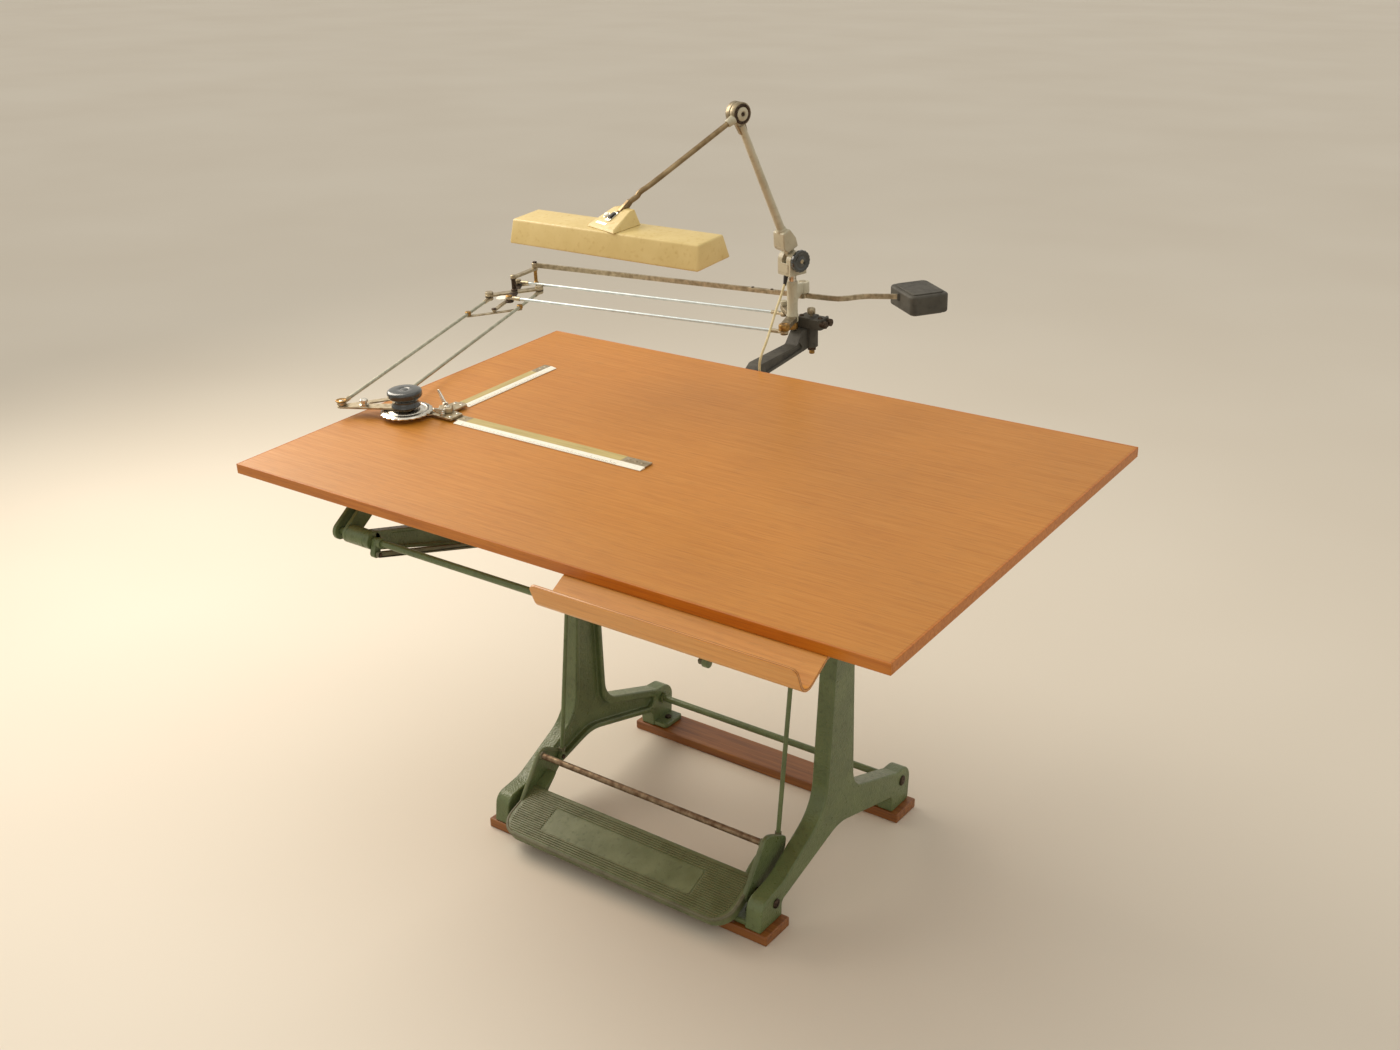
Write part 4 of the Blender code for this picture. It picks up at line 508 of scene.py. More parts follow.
def bolt(name, at, axis, home, body, finish, radius=0.007, tall=0.005, kind="hex"):
    """A screw or bolt head standing on a face: hex, slotted or domed."""
    at, axis = V(at), V(axis).normalized()
    if kind == "hex":
        head = lathe(name, [(0, 0), (radius, 0), (radius, tall * 0.8), (radius * 0.88, tall), (0, tall)],
                     at, axis, 6)
        return fit(head, home, finish, body, None, 0.0003, 1, 30)
    profile = [(0, 0), (radius, 0), (radius, tall * 0.35), (radius * 0.86, tall * 0.75),
               (radius * 0.55, tall * 0.96), (0, tall)]
    head = lathe(name, profile, at, axis, 28)
    if kind == "slot":
        across = axis.orthogonal().normalized()
        slit = brick("slit", (radius * 2.4, radius * 0.28, tall), (0, 0, 0))
        turn = Matrix((across, axis.cross(across), axis)).transposed().to_4x4()
        slit.data.transform(Matrix.Translation(at + axis * tall * 1.0) @ turn)
        carve(head, slit)
    return fit(head, home, finish, body, None, 0, 1, 40)


SIDES = ((-1, "left"), (1, "right"))


# ------------------------------------------------------------------ stand
FRAME_OUTLINE = [
    (-0.318, 0.0223), (-0.238, 0.0223), (-0.238, 0.056, 0.012), (-0.018, 0.122, 0.12),
    (0.214, 0.062, 0.015), (0.218, 0.0223), (0.292, 0.0223), (0.296, 0.113, 0.034),
    (0.236, 0.116, 0.03), (0.036, 0.183, 0.06), (0.014, 0.600), (SHAFT.y, SHAFT.z + 0.010),
    (-0.052, 0.600), (-0.076, 0.184, 0.10), (-0.151, 0.143, 0.15), (-0.236, 0.098, 0.10),
    (-0.312, 0.086, 0.028)]
RECESS_OUTLINE = [
    (-0.222, 0.070, 0.008), (-0.018, 0.134, 0.11), (0.206, 0.078, 0.008), (0.232, 0.098, 0.010),
    (0.024, 0.167, 0.06), (0.004, 0.560, 0.008), (-0.040, 0.560, 0.008), (-0.062, 0.195, 0.10),
    (-0.150, 0.128, 0.10), (-0.222, 0.090, 0.010)]


def side_frames():
    """Cast side frames with their hollowed inner faces, feet, bosses and bolts."""
    mid = (FRAME_IN + FRAME_OUT) / 2
    for side, word in SIDES:
        body = slab(f"frame_{word}_casting", FRAME_OUTLINE, 0.038, (side * mid, 0, 0), "side")
        hollow = slab("hollow", RECESS_OUTLINE, 0.028, (side * FRAME_IN, 0, 0), "side")
        carve(body, hollow)
        fit(body, STAND, HAMMER, "stand", f"frame_{word}", 0.0050, 3)
        head = lathe(f"frame_{word}_head", [(0.0186, 0), (0.040, 0), (0.042, 0.002), (0.042, 0.0375),
                                            (0.040, 0.0395), (0.027, 0.0395), (0.026, 0.041),
                                            (0.0186, 0.041), (0.0186, 0)],
                     (side * (FRAME_IN - 0.0005), SHAFT.y, SHAFT.z), (side, 0, 0), 56)
        fit(head, STAND, HAMMER, "stand", None, 0.0008)
        for end, y in (("front", SOLE_FRONT_Y), ("rear", TIE_Y)):
            foot = [(-0.025, -0.035), (0.020, -0.035), (0.025, -0.028), (0.025, 0.028), (0.020, 0.035),
                    (-0.025, 0.035)]
            pad = slab(f"foot_{end}_{word}", [(side * (FRAME_IN - 0.010 - across), y + deep)
                                              for across, deep in foot], 0.012, (0, 0, 0.0289))
            fit(pad, STAND, HAMMER, "stand", None, 0.0030, 3)
            bolt(f"foot_screw_{end}_{word}", (side * (FRAME_IN - 0.016), y, 0.0345), (0, 0, 1), STAND,
                 "stand", BLACKED, 0.0085, 0.005)
        pin = lathe(f"pedal_pin_{word}", [(0, 0), (0.0117, 0), (0.0117, 0.022), (0, 0.022)],
                    (side * (PEDAL_W / 2 - 0.003), PEDAL.y, PEDAL.z), (side, 0, 0), 32)
        fit(pin, STAND, BLACKED, "stand", None, 0.0008)
        bolt(f"pedal_bolt_{word}", (side * FRAME_OUT, PEDAL.y - 0.008, PEDAL.z), (side, 0, 0), STAND,
             "stand", BLACKED, 0.0105, 0.005, "slot")
        bolt(f"tie_bolt_{word}", (side * FRAME_OUT, TIE_Y + 0.003, TIE_Z), (side, 0, 0), STAND, "stand",
             BLACKED, 0.0120, 0.004, "dome")
        bolt(f"tie_nut_{word}", (side * (FRAME_IN - 0.009), TIE_Y, TIE_Z), (side, 0, 0), STAND, "stand",
             HAMMER, 0.0145, 0.0088)
        stud = SHAFT - LEVER_UP * LINK_DROP
        link_pin = rod(f"link_pin_{word}", (side * (FRAME_OUT - 0.006), stud.y, stud.z),
                       (side * 0.3880, stud.y, stud.z), 0.0034)
        fit(link_pin, STAND, BLACKED, "stand")
    reach = FRAME_IN - 0.0003
    tie = rod("tie_rod_bar", (-reach, TIE_Y, TIE_Z), (reach, TIE_Y, TIE_Z), 0.008)
    fit(tie, STAND, HAMMER, "stand", "tie_rod")
    for word, y in (("front", SOLE_FRONT_Y), ("rear", SOLE_REAR_Y)):
        beam = brick(f"sole_{word}_beam", (SOLE_L, SOLE_W, SOLE_T), (0, y, SOLE_T / 2))
        fit(beam, STAND, BEAM, "stand", f"sole_{word}", 0.0028, 3)


# ------------------------------------------------------------------ pedal
def pedal():
    """Ribbed cast tread with a plain panel, its ears and the bar across them."""
    run = PEDAL_BACK - PEDAL_FRONT
    deep = hypot(run.y, run.z)
    slope = atan2(run.z, run.y)
    middle = (PEDAL_BACK + PEDAL_FRONT) / 2
    home = STAND @ Matrix.Translation(middle) @ Matrix.Rotation(slope, 4, "X")
    half, back = PEDAL_W / 2, deep / 2
    plan = [(-half, -back, 0.045), (half, -back, 0.045), (half, back), (-half, back)]
    inner = [(-half + 0.008, -back + 0.008, 0.038), (half - 0.008, -back + 0.008, 0.038),
             (half - 0.008, back + 0.02), (-half + 0.008, back + 0.02)]
    tread = slab("treadle_plate", plan, 0.026, (0, 0, -0.013))
    carve(tread, slab("under", inner, 0.026, (0, 0, -0.013 - 0.0085)))
    fit(tread, home, TREAD, "pedal", "treadle", 0.0030, 3)
    form = bmesh.new()
    pitch = 0.0052
    rows = int((deep - 0.016) / pitch)
    panel = (-0.205, 0.195, -0.034, 0.030)
    for i in range(rows + 1):
        y = -back + 0.008 + i * pitch
        inset = 0.012 + max(0.0, 0.045 - (y + back)) ** 2 * 12
        spans = [(-half + inset, half - inset)]
        if panel[2] < y < panel[3]:
            spans = [(-half + inset, panel[0]), (panel[1], half - inset)]
        for left, right in spans:
            ring = []
            for x in (left, right):
                ring.append([form.verts.new((x, y + dy, dz)) for dy, dz in
                             ((-0.0019, -0.0006), (-0.0010, 0.0020), (0.0010, 0.0020), (0.0019, -0.0006))])
            for k in range(4):
                j = (k + 1) % 4
                form.faces.new((ring[0][k], ring[0][j], ring[1][j], ring[1][k]))
            form.faces.new(ring[0][::-1])
            form.faces.new(ring[1])
    fit(from_form("treadle_ribs", form), home, TREAD, "pedal")
    field = slab("treadle_panel", oblong(panel[0] + 0.004, panel[1] - 0.004, panel[2] + 0.001,
                                         panel[3] - 0.001, 0.005), 0.0024)
    fit(field, home, TREAD, "pedal", None, 0.0008)
    rim_plan = rounded(plan)
    rim = [V((p.x * 0.995, p.y, -0.003)) for p in rim_plan]
    front = [p for p in rim if p.y < back - 0.03]
    fit(sweep("treadle_rim", [V((-half + 0.002, back - 0.03, -0.003)), *front,
                              V((half - 0.002, back - 0.03, -0.003))], 0.0042), home, RUBBED, "pedal")
    ear_plan = [(-0.041, 0.008), (0.030, 0.110, 0.010), (0.056, 0.104, 0.010), (0.108, 0.076, 0.012),
                (0.104, 0.050, 0.008), (0.018, -0.024, 0.020), (-0.022, -0.018, 0.010)]
    at_pivot = STAND @ Matrix.Translation(PEDAL)
    for side, word in SIDES:
        x = side * (half + 0.0005)
        ear = slab(f"ear_{word}", ear_plan, 0.008, (x, 0, 0), "side")
        hole = rod("hole", (x - 0.02, 0, 0), (x + 0.02, 0, 0), 0.0123)
        carve(ear, hole)
        fit(ear, at_pivot, HAMMER, "pedal", None, 0.0016)
        bead = [V((x - side * 0.002, -0.038, 0.010)), V((x - side * 0.002, -0.010, 0.050)),
                V((x - side * 0.002, 0.022, 0.094)), V((x - side * 0.002, 0.034, 0.104)),
                V((x - side * 0.002, 0.052, 0.102)), V((x - side * 0.002, 0.098, 0.076))]
        fit(sweep(f"ear_bead_{word}", smooth_path(bead, 6), 0.0050), at_pivot, TREAD, "pedal")
        web = [(-0.030, 0.0), (0.020, 0.034), (0.052, 0.050), (0.012, 0.010)]
        gusset = slab(f"ear_gusset_{word}", web, 0.030, (x - side * 0.017, 0, 0.004), "side")
        fit(gusset, at_pivot, HAMMER, "pedal", None, 0.0030, 3)
    at = V((0, -0.222, 0.160)) - PEDAL
    reach = half - 0.0038
    bar = rod("treadle_bar_rod", (-reach, at.y, at.z), (reach, at.y, at.z), 0.0070)
    fit(bar, at_pivot, BAR_STEEL, "pedal", "treadle_bar")
    for side, word in SIDES:
        bolt(f"bar_nut_{word}", (side * (half - 0.0038), at.y, at.z), (-side, 0, 0), at_pivot, "pedal",
             RUBBED, 0.0105, 0.006)


def locking_rods():
    """Thin rods from the pedal's ears up to the brake levers on the shaft."""
    for side, word in SIDES:
        x = side * 0.2885
        foot, head = V((x, PULL_FOOT.y, PULL_FOOT.z)), V((x, PULL_HEAD.y, PULL_HEAD.z))
        away = (head - foot).normalized()
        body = f"pull_{word}"
        fit(rod(f"pull_rod_{word}_bar", foot + away * 0.008, head - away * 0.008, 0.0048), STAND, HAMMER,
            body, f"pull_rod_{word}")
        for end, at, sense in (("foot", foot, 1), ("head", head, -1)):
            eye = lathe(f"pull_eye_{end}_{word}", [(0, -0.0045), (0.0100, -0.0045), (0.0108, -0.0035),
                                                   (0.0108, 0.0035), (0.0100, 0.0045), (0, 0.0045)],
                        at, (1, 0, 0), 32)
            fit(eye, STAND, HAMMER, body, None, 0.0005)
            nut = at + away * sense * 0.017
            fit(lathe(f"pull_nut_{end}_{word}", [(0, -0.004), (0.0080, -0.004), (0.0080, 0.004),
                                                 (0, 0.004)], nut, away, 6), STAND, RUBBED, body, None,
                0.0005)
            fit(rod(f"pull_pin_{end}_{word}", at - V((side * 0.0075, 0, 0)), at + V((side * 0.0048, 0, 0)),
                    0.0050), STAND, BLACKED, body)
        arm = PULL_HEAD - SHAFT
        at_shaft = STAND @ Matrix.Translation(SHAFT)
        lever = slab(f"brake_lever_{word}_arm", bar_ends((0, 0), (arm.y, arm.z), 0.050, 0.026), 0.008,
                     (side * 0.2975, 0, 0), "side")
        carve(lever, rod("hole", (side * 0.25, 0, 0), (side * 0.35, 0, 0), SHAFT_R + 0.0004))
        fit(lever, at_shaft, HAMMER, f"brake_{word}", f"brake_lever_{word}", 0.0015)
        hub = lathe(f"brake_hub_{word}", [(0.0184, 0), (0.026, 0), (0.027, 0.001), (0.027, 0.0185),
                                          (0.026, 0.0195), (0.0184, 0.0195), (0.0184, 0)],
                    (side * 0.2942, 0, 0), (side, 0, 0), 44)
        fit(hub, at_shaft, HAMMER, f"brake_{word}", None, 0.0005)


# ------------------------------------------------------------------ lift
def along(distance, up):
    """A place on the lift lever, from the shaft towards its front end and square to it."""
    at = LEVER_DIR * distance + LEVER_UP * up
    return (at.y, at.z)


def lift():
    """Two cast levers on the shaft, their front sleeves, the balance roller and the level links."""
    home = STAND @ Matrix.Translation(SHAFT)
    reach = (HUB - SHAFT).length
    outline = [along(reach, 0.019), along(0, 0.032), (*along(-REAR_ARM, 0.026), 0.010),
               along(-REAR_ARM - 0.036, 0), (*along(-REAR_ARM, -0.026), 0.010), along(0, -0.032),
               along(reach, -0.019)]
    pocket = [(*along(reach - 0.045, 0.0125), 0.006), (*along(0.050, 0.024), 0.006),
              (*along(0.050, -0.024), 0.006), (*along(reach - 0.045, -0.0125), 0.006)]
    hub = HUB - SHAFT
    for side, word in SIDES:
        mid = side * (LEVER_IN + LEVER_OUT) / 2
        lever = slab(f"lift_lever_{word}_casting", outline, 0.020, (mid, 0, 0), "side")
        for face in (LEVER_IN, LEVER_OUT):
            carve(lever, slab("pocket", pocket, 0.008, (side * face, 0, 0), "side"))
        carve(lever, rod("hole", (side * 0.38, 0, 0), (side * 0.44, 0, 0), SHAFT_R + 0.0003))
        fit(lever, home, HAMMER, "lift", f"lift_lever_{word}", 0.0022)
        sleeve = lathe(f"hub_sleeve_{word}", [(0.0073, 0), (0.0175, 0), (0.0185, 0.001), (0.0185, 0.012),
                                              (0.0176, 0.0130), (0.0176, 0.0150), (0.0185, 0.016),
                                              (0.0185, 0.0612), (0.0175, 0.0622), (0.0073, 0.0622),
                                              (0.0073, 0)], (side * LEVER_IN, hub.y, hub.z), (side, 0, 0),
                       44)
        fit(sleeve, home, HAMMER, "lift", None, 0.0004)
        boss = lathe(f"lever_boss_{word}", [(0.0183, 0), (0.0300, 0), (0.0310, 0.001), (0.0310, 0.0035),
                                            (0.0300, 0.0045), (0.0183, 0.0045), (0.0183, 0)],
                     (side * 0.4195, 0, 0), (side, 0, 0), 44)
        fit(boss, home, HAMMER, "lift", None, 0.0004)
        bolt(f"shaft_cap_{word}", (side * LEVER_OUT, 0, 0), (side, 0, 0), home, "lift", BLACKED, 0.0150,
             0.007, "dome")
        bolt(f"roller_bolt_{word}", (side * LEVER_OUT, *along(-REAR_ARM, 0)), (side, 0, 0), home, "lift",
             BLACKED, 0.0120, 0.007)
    profile = []
    for low, high, radius in ((-LEVER_OUT, -NECK_OUT, SHAFT_R), (-NECK_OUT, -NECK_IN, 0.0125),
                              (-NECK_IN, NECK_IN, SHAFT_R), (NECK_IN, NECK_OUT, 0.0125),
                              (NECK_OUT, LEVER_OUT, SHAFT_R)):
        profile += [(radius, low), (radius, high)]
    shaft = lathe("lift_shaft_bar", [(0, -LEVER_OUT), *profile, (0, LEVER_OUT)], (0, 0, 0), (1, 0, 0), 44)
    fit(shaft, home, HAMMER, "lift", "lift_shaft", 0.0006)
    weight = V((0, *along(-REAR_ARM, 0)))
    profile = [(0, 0), (0.034, 0), (0.036, 0.002)]
    for k in range(1, 4):
        at = ROLLER_L * k / 4
        profile += [(0.036, at - 0.0030), (0.0345, at - 0.0015), (0.0345, at + 0.0015),
                    (0.036, at + 0.0030)]
    profile += [(0.036, ROLLER_L - 0.002), (0.034, ROLLER_L), (0, ROLLER_L)]
    fit(lathe("balance_roller", profile, (-ROLLER_L / 2, weight.y, weight.z), (1, 0, 0), 48), home, HAMMER,
        "lift", "counterweight_bar")
    drop = -LEVER_UP * LINK_DROP
    for side, word in SIDES:
        at_link = STAND @ Matrix.Translation(SHAFT + drop)
        link = slab(f"level_link_{word}_bar", bar_ends((0, 0), (hub.y, hub.z), 0.012), 0.008,
                    (side * LINK_MID, 0, 0), "side")
        for spot in (V((0, 0, 0)), hub):
            carve(link, rod("hole", (side * 0.37, spot.y, spot.z), (side * 0.40, spot.y, spot.z), 0.0038))
        fit(link, at_link, RUBBED, f"link_{word}", f"level_link_{word}", 0.0012)
    at_hub = STAND @ Matrix.Translation(HUB)
    fit(rod("tilt_rod_bar", (-0.503, 0, 0), (0.503, 0, 0), 0.0070, None, 0.001), at_hub, HAMMER, "tilt_rod",
        "cross_rod")
    for side, word in SIDES:
        crank = slab(f"tilt_crank_{word}", bar_ends((0, 0), (drop.y, drop.z), 0.0168), 0.0120,
                     (side * 0.3931, 0, 0), "side")
        fit(crank, at_hub, HAMMER, "tilt_rod", None, 0.0012)
        fit(rod(f"crank_pin_{word}", (side * 0.3765, drop.y, drop.z), (side * 0.3925, drop.y, drop.z),
                0.0035), at_hub, BLACKED, "tilt_rod")
        collar = lathe(f"rod_collar_{word}", [(0.0068, 0), (0.0105, 0), (0.0112, 0.0007), (0.0112, 0.0083),
                                              (0.0105, 0.009), (0.0068, 0.009), (0.0068, 0)],
                       (side * 0.3760, 0, 0), (side, 0, 0), 32)
        fit(collar, at_hub, HAMMER, "tilt_rod", None, 0.0003)
        bolt(f"rod_end_{word}", (side * 0.4982, 0, 0), (side, 0, 0), at_hub, "tilt_rod", BLACKED, 0.0110,
             0.0045, "dome")


# ------------------------------------------------------------------ board
def board():
    """The veneered panel, its lipping, the forks below and the bent ply tray."""
    wide = BOARD_W - 0.008
    deep = BOARD_D - 0.008
    panel = brick("board_face", (wide, deep, BOARD_T), (0, BOARD_D / 2, -BOARD_T / 2))
    fit(panel, BOARD, VENEER, "board", "board_panel", 0.0004, 1)
    lip_t = 0.0041
    for word, size, at in (("front", (BOARD_W, lip_t, BOARD_T), (0, lip_t / 2, -BOARD_T / 2)),
                           ("rear", (BOARD_W, lip_t, BOARD_T), (0, BOARD_D - lip_t / 2, -BOARD_T / 2)),
                           ("left", (lip_t, deep - 0.0002, BOARD_T),
                            (-BOARD_W / 2 + lip_t / 2, 0.5, -BOARD_T / 2)),
                           ("right", (lip_t, deep - 0.0002, BOARD_T),
                            (BOARD_W / 2 - lip_t / 2, 0.5, -BOARD_T / 2))):
        fit(brick(f"lipping_{word}", size, at), BOARD, LIPPING, "board", None, 0.0010)
    rise = V((0, cos(FORK_RISE), sin(FORK_RISE)))
    square = V((0, -rise.z, rise.y))
    centre = V((0, HUB_V, HUB_H))
    half = 0.0185
    outline = []
    for k in range(13):
        turn = pi * k / 12
        at = centre + square * half * cos(turn) - rise * half * sin(turn)
        outline.append(V((at.y, at.z)))
    for across in (-1, 1):
        at = centre + square * across * half
        at += rise * (UNDER - 0.003 - at.z) / rise.z
        outline.append(V((at.y, at.z)))
    for side, word in SIDES:
        for i, x in enumerate((0.4665, 0.4940)):
            cheek = slab(f"fork_cheek_{word}_{i}", outline, 0.008, (side * x, 0, 0), "side")
            carve(cheek, rod("hole", (side * (x - 0.02), HUB_V, HUB_H), (side * (x + 0.02), HUB_V, HUB_H),
                             0.0073))
            fit(cheek, BOARD, HAMMER, "board", f"tilt_fork_{word}" if i == 0 else None, 0.0014)
        flange = slab(f"fork_flange_{word}", oblong(side * 0.4830 - 0.0225, side * 0.4830 + 0.0225, 0.078,
                                                    0.225, 0.006), 0.006, (0, 0, UNDER - 0.003))
        fit(flange, BOARD, HAMMER, "board", None, 0.0012)
        for j, v in enumerate((0.092, 0.150, 0.210)):
            bolt(f"fork_screw_{word}_{j}", (side * 0.4802, v, UNDER - 0.006), (0, 0, -1), BOARD, "board",
                 BLACKED, 0.0050, 0.003, "slot")
        spacer = centre + rise * 0.055
        fit(rod(f"fork_spacer_{word}", (side * 0.4650, spacer.y, spacer.z),
                (side * 0.4955, spacer.y, spacer.z), 0.0060), BOARD, RUBBED, "board")
    tray()


def tray():
    """Five bent layers, pale outside and glue-dark between."""
    corners = [(0.055, UNDER - TRAY_T / 2), (0.002, UNDER - TRAY_T / 2, 0.020), (-0.066, -0.0610, 0.022),
               (-0.0880, -0.0010)]
    line = rounded([*corners, (-0.0880, 0.4), (0.055, 0.4)], 12)[:-2]
    lip, ease_r = line.pop(), 0.013
    climb = (lip - line[-1]).normalized()
    line += [lip - climb * ease_r * share for share in (1.0, 0.7, 0.45, 0.25, 0.1, 0.0)]
    inset = [ease_r - (ease_r ** 2 - max(0.0, ease_r - (lip - at).length) ** 2) ** 0.5 for at in line]
    normals = []
    for i, at in enumerate(line):
        ahead = (line[min(i + 1, len(line) - 1)] - line[max(i - 1, 0)]).normalized()
        normals.append(V((-ahead.y, ahead.x)))
    layers = 5
    ends = (TRAY_U - TRAY_L / 2, TRAY_U + TRAY_L / 2)
    for layer in range(layers):
        low = -TRAY_T / 2 + TRAY_T * layer / layers
        high = low + TRAY_T / layers
        ease = 0.0009 if layer in (0, layers - 1) else 0.0
        form = bmesh.new()
        rings = []
        for u in ends:
            back = 1 if u < TRAY_U else -1
            inner = [form.verts.new((u + back * cut, *(at + n * low))) for at, n,
                     cut in zip(line, normals, inset)]
            outer = [form.verts.new((u + back * cut, *(at + n * high))) for at, n,
                     cut in zip(line, normals, inset)]
            rings.append(inner + outer[::-1])
        count = len(rings[0])
        for i in range(count):
            j = (i + 1) % count
            form.faces.new((rings[0][i], rings[0][j], rings[1][j], rings[1][i]))
        half = count // 2
        for ring in rings:
            for i in range(half - 1):
                form.faces.new((ring[i], ring[i + 1], ring[count - 2 - i], ring[count - 1 - i]))
        finish = (PLY_IN, PLY_CORE, PLY, PLY_CORE, PLY)[layer]
        obj = from_form(f"tray_layer_{layer}", form)
        fit(obj, BOARD, finish, "board", "pen_tray" if layer == 0 else None, ease, 2)
    strip = slab("tray_strap", oblong(0.249, 0.309, 0.010, 0.068, 0.004), 0.0030,
                 (0, 0, UNDER - TRAY_T - 0.0018))
    fit(strip, BOARD, BLACKED, "board", "tray_bracket", 0.0006)
    for i, (u, v) in enumerate(((0.262, 0.026), (0.296, 0.026), (0.262, 0.052), (0.296, 0.052))):
        bolt(f"tray_screw_{i}", (u, v, UNDER - TRAY_T - 0.0033), (0, 0, -1), BOARD, "board", BLACKED,
             0.0055, 0.0030, "dome")
    for i, u in enumerate((0.262, 0.296)):
        bolt(f"tray_rivet_{i}", (u, -0.0240, -0.0418), (0, 0.47, -0.88), BOARD, "board", BLACKED, 0.0060,
             0.0030, "dome")


# ------------------------------------------------------------------ drafting machine
def at_h(place, height):
    """A place on the board raised to this height."""
    return V((place.x, place.y, height))


def machine_clamp():
    """Dark cast arm under the board with the clamp block on its end."""
    outline = [(0.720, UNDER), (1.0060, UNDER), (1.040, 0.000, 0.010), (1.195, 0.000, 0.012),
               (1.222, 0.0300, 0.006), (1.280, 0.0300, 0.005), (1.280, -0.018, 0.010),
               (1.060, -0.032, 0.010), (0.720, -0.044)]
    arm = slab("bracket_arm", outline, 0.035, (-0.1825, 0, 0), "side")
    groove = [(1.050, -0.0045, 0.004), (1.192, -0.0045, 0.008), (1.206, 0.006, 0.004),
              (1.222, -0.0125, 0.004), (1.062, -0.0250, 0.004)]
    for x in (-0.200, -0.165):
        carve(arm, slab("groove", groove, 0.010, (x, 0, 0), "side"))
    fit(arm, BOARD, IRON, "board", "machine_bracket", 0.0016)
    boss = lathe("bracket_boss", [(0, -0.018), (0.014, -0.018), (0.015, -0.017), (0.015, 0.028),
                                  (0.014, 0.0298), (0, 0.0298)], (-0.163, 1.258, 0), (0, 0, 1), 40)
    fit(boss, BOARD, IRON, "board", None, 0.0005)
    fit(lathe("bracket_nut", [(0, -0.026), (0.0112, -0.026), (0.0112, -0.018), (0, -0.018)],
              (-0.163, 1.258, 0), (0, 0, 1), 6), BOARD, BLACKED, "board", None, 0.0006)
    fit(rod("bracket_bolt", (-0.163, 1.258, -0.020), (-0.163, 1.258, -0.0360), 0.0068), BOARD, BRASS,
        "board")
    for i, v in enumerate((0.76, 0.86, 0.96)):
        bolt(f"bracket_screw_{i}", (-0.1825, v, -0.0445 + (v - 0.72) * 0.0353), (0, 0, -1), BOARD, "board",
             BLACKED, 0.0075, 0.004, "slot")
    block = slab("clamp_body", [(-0.1940, 1.239, 0.004), (-0.127, 1.239, 0.006), (-0.127, 1.281, 0.006),
                                (-0.1940, 1.281, 0.004)], 0.0260, (0, 0, 0.0436))
    carve(block, brick("notch", (0.022, 0.05, 0.012), (-0.1460, 1.260, 0.0600)))
    fit(block, BOARD, IRON, "board", "clamp_block", 0.0022, 3)
    for i, (x, y) in enumerate(((-0.1300, 1.2480), (-0.1300, 1.2720))):
        roller = lathe(f"clamp_roller_{i}", [(0, -0.008), (0.0080, -0.008), (0.0090, -0.007),
                                             (0.0090, 0.007), (0.0080, 0.008), (0, 0.008)],
                       (x + 0.006, y, 0.0440), (1, 0, 0), 28)
        fit(roller, BOARD, BLACKED, "board", None, 0.0005)
    for i, x in enumerate((-0.1880, -0.1360)):
        bolt(f"clamp_bolt_{i}", (x, 1.252, 0.0566), (0, 0, 1), BOARD, "board", BLACKED, 0.0060, 0.0034,
             "slot")
    top = 0.0605
    knurl = lathe("clamp_screw_head", [(0, -0.006), (0.0034, -0.006), (0.0034, 0.0012), (0.0085, 0.0018),
                                       (0.0095, 0.0040), (0.0095, 0.0140), (0.0085, 0.0160),
                                       (0.0055, 0.0166), (0.0050, 0.0156), (0, 0.0156)],
                  (-0.165, 1.259, top), (0, 0, 1), 60, lambda turn,
                  r: 0.035 * cos(20 * turn) if r > 0.009 else 0.0)
    fit(knurl, BOARD, NICKEL, "clamp_screw", "clamp_screw")


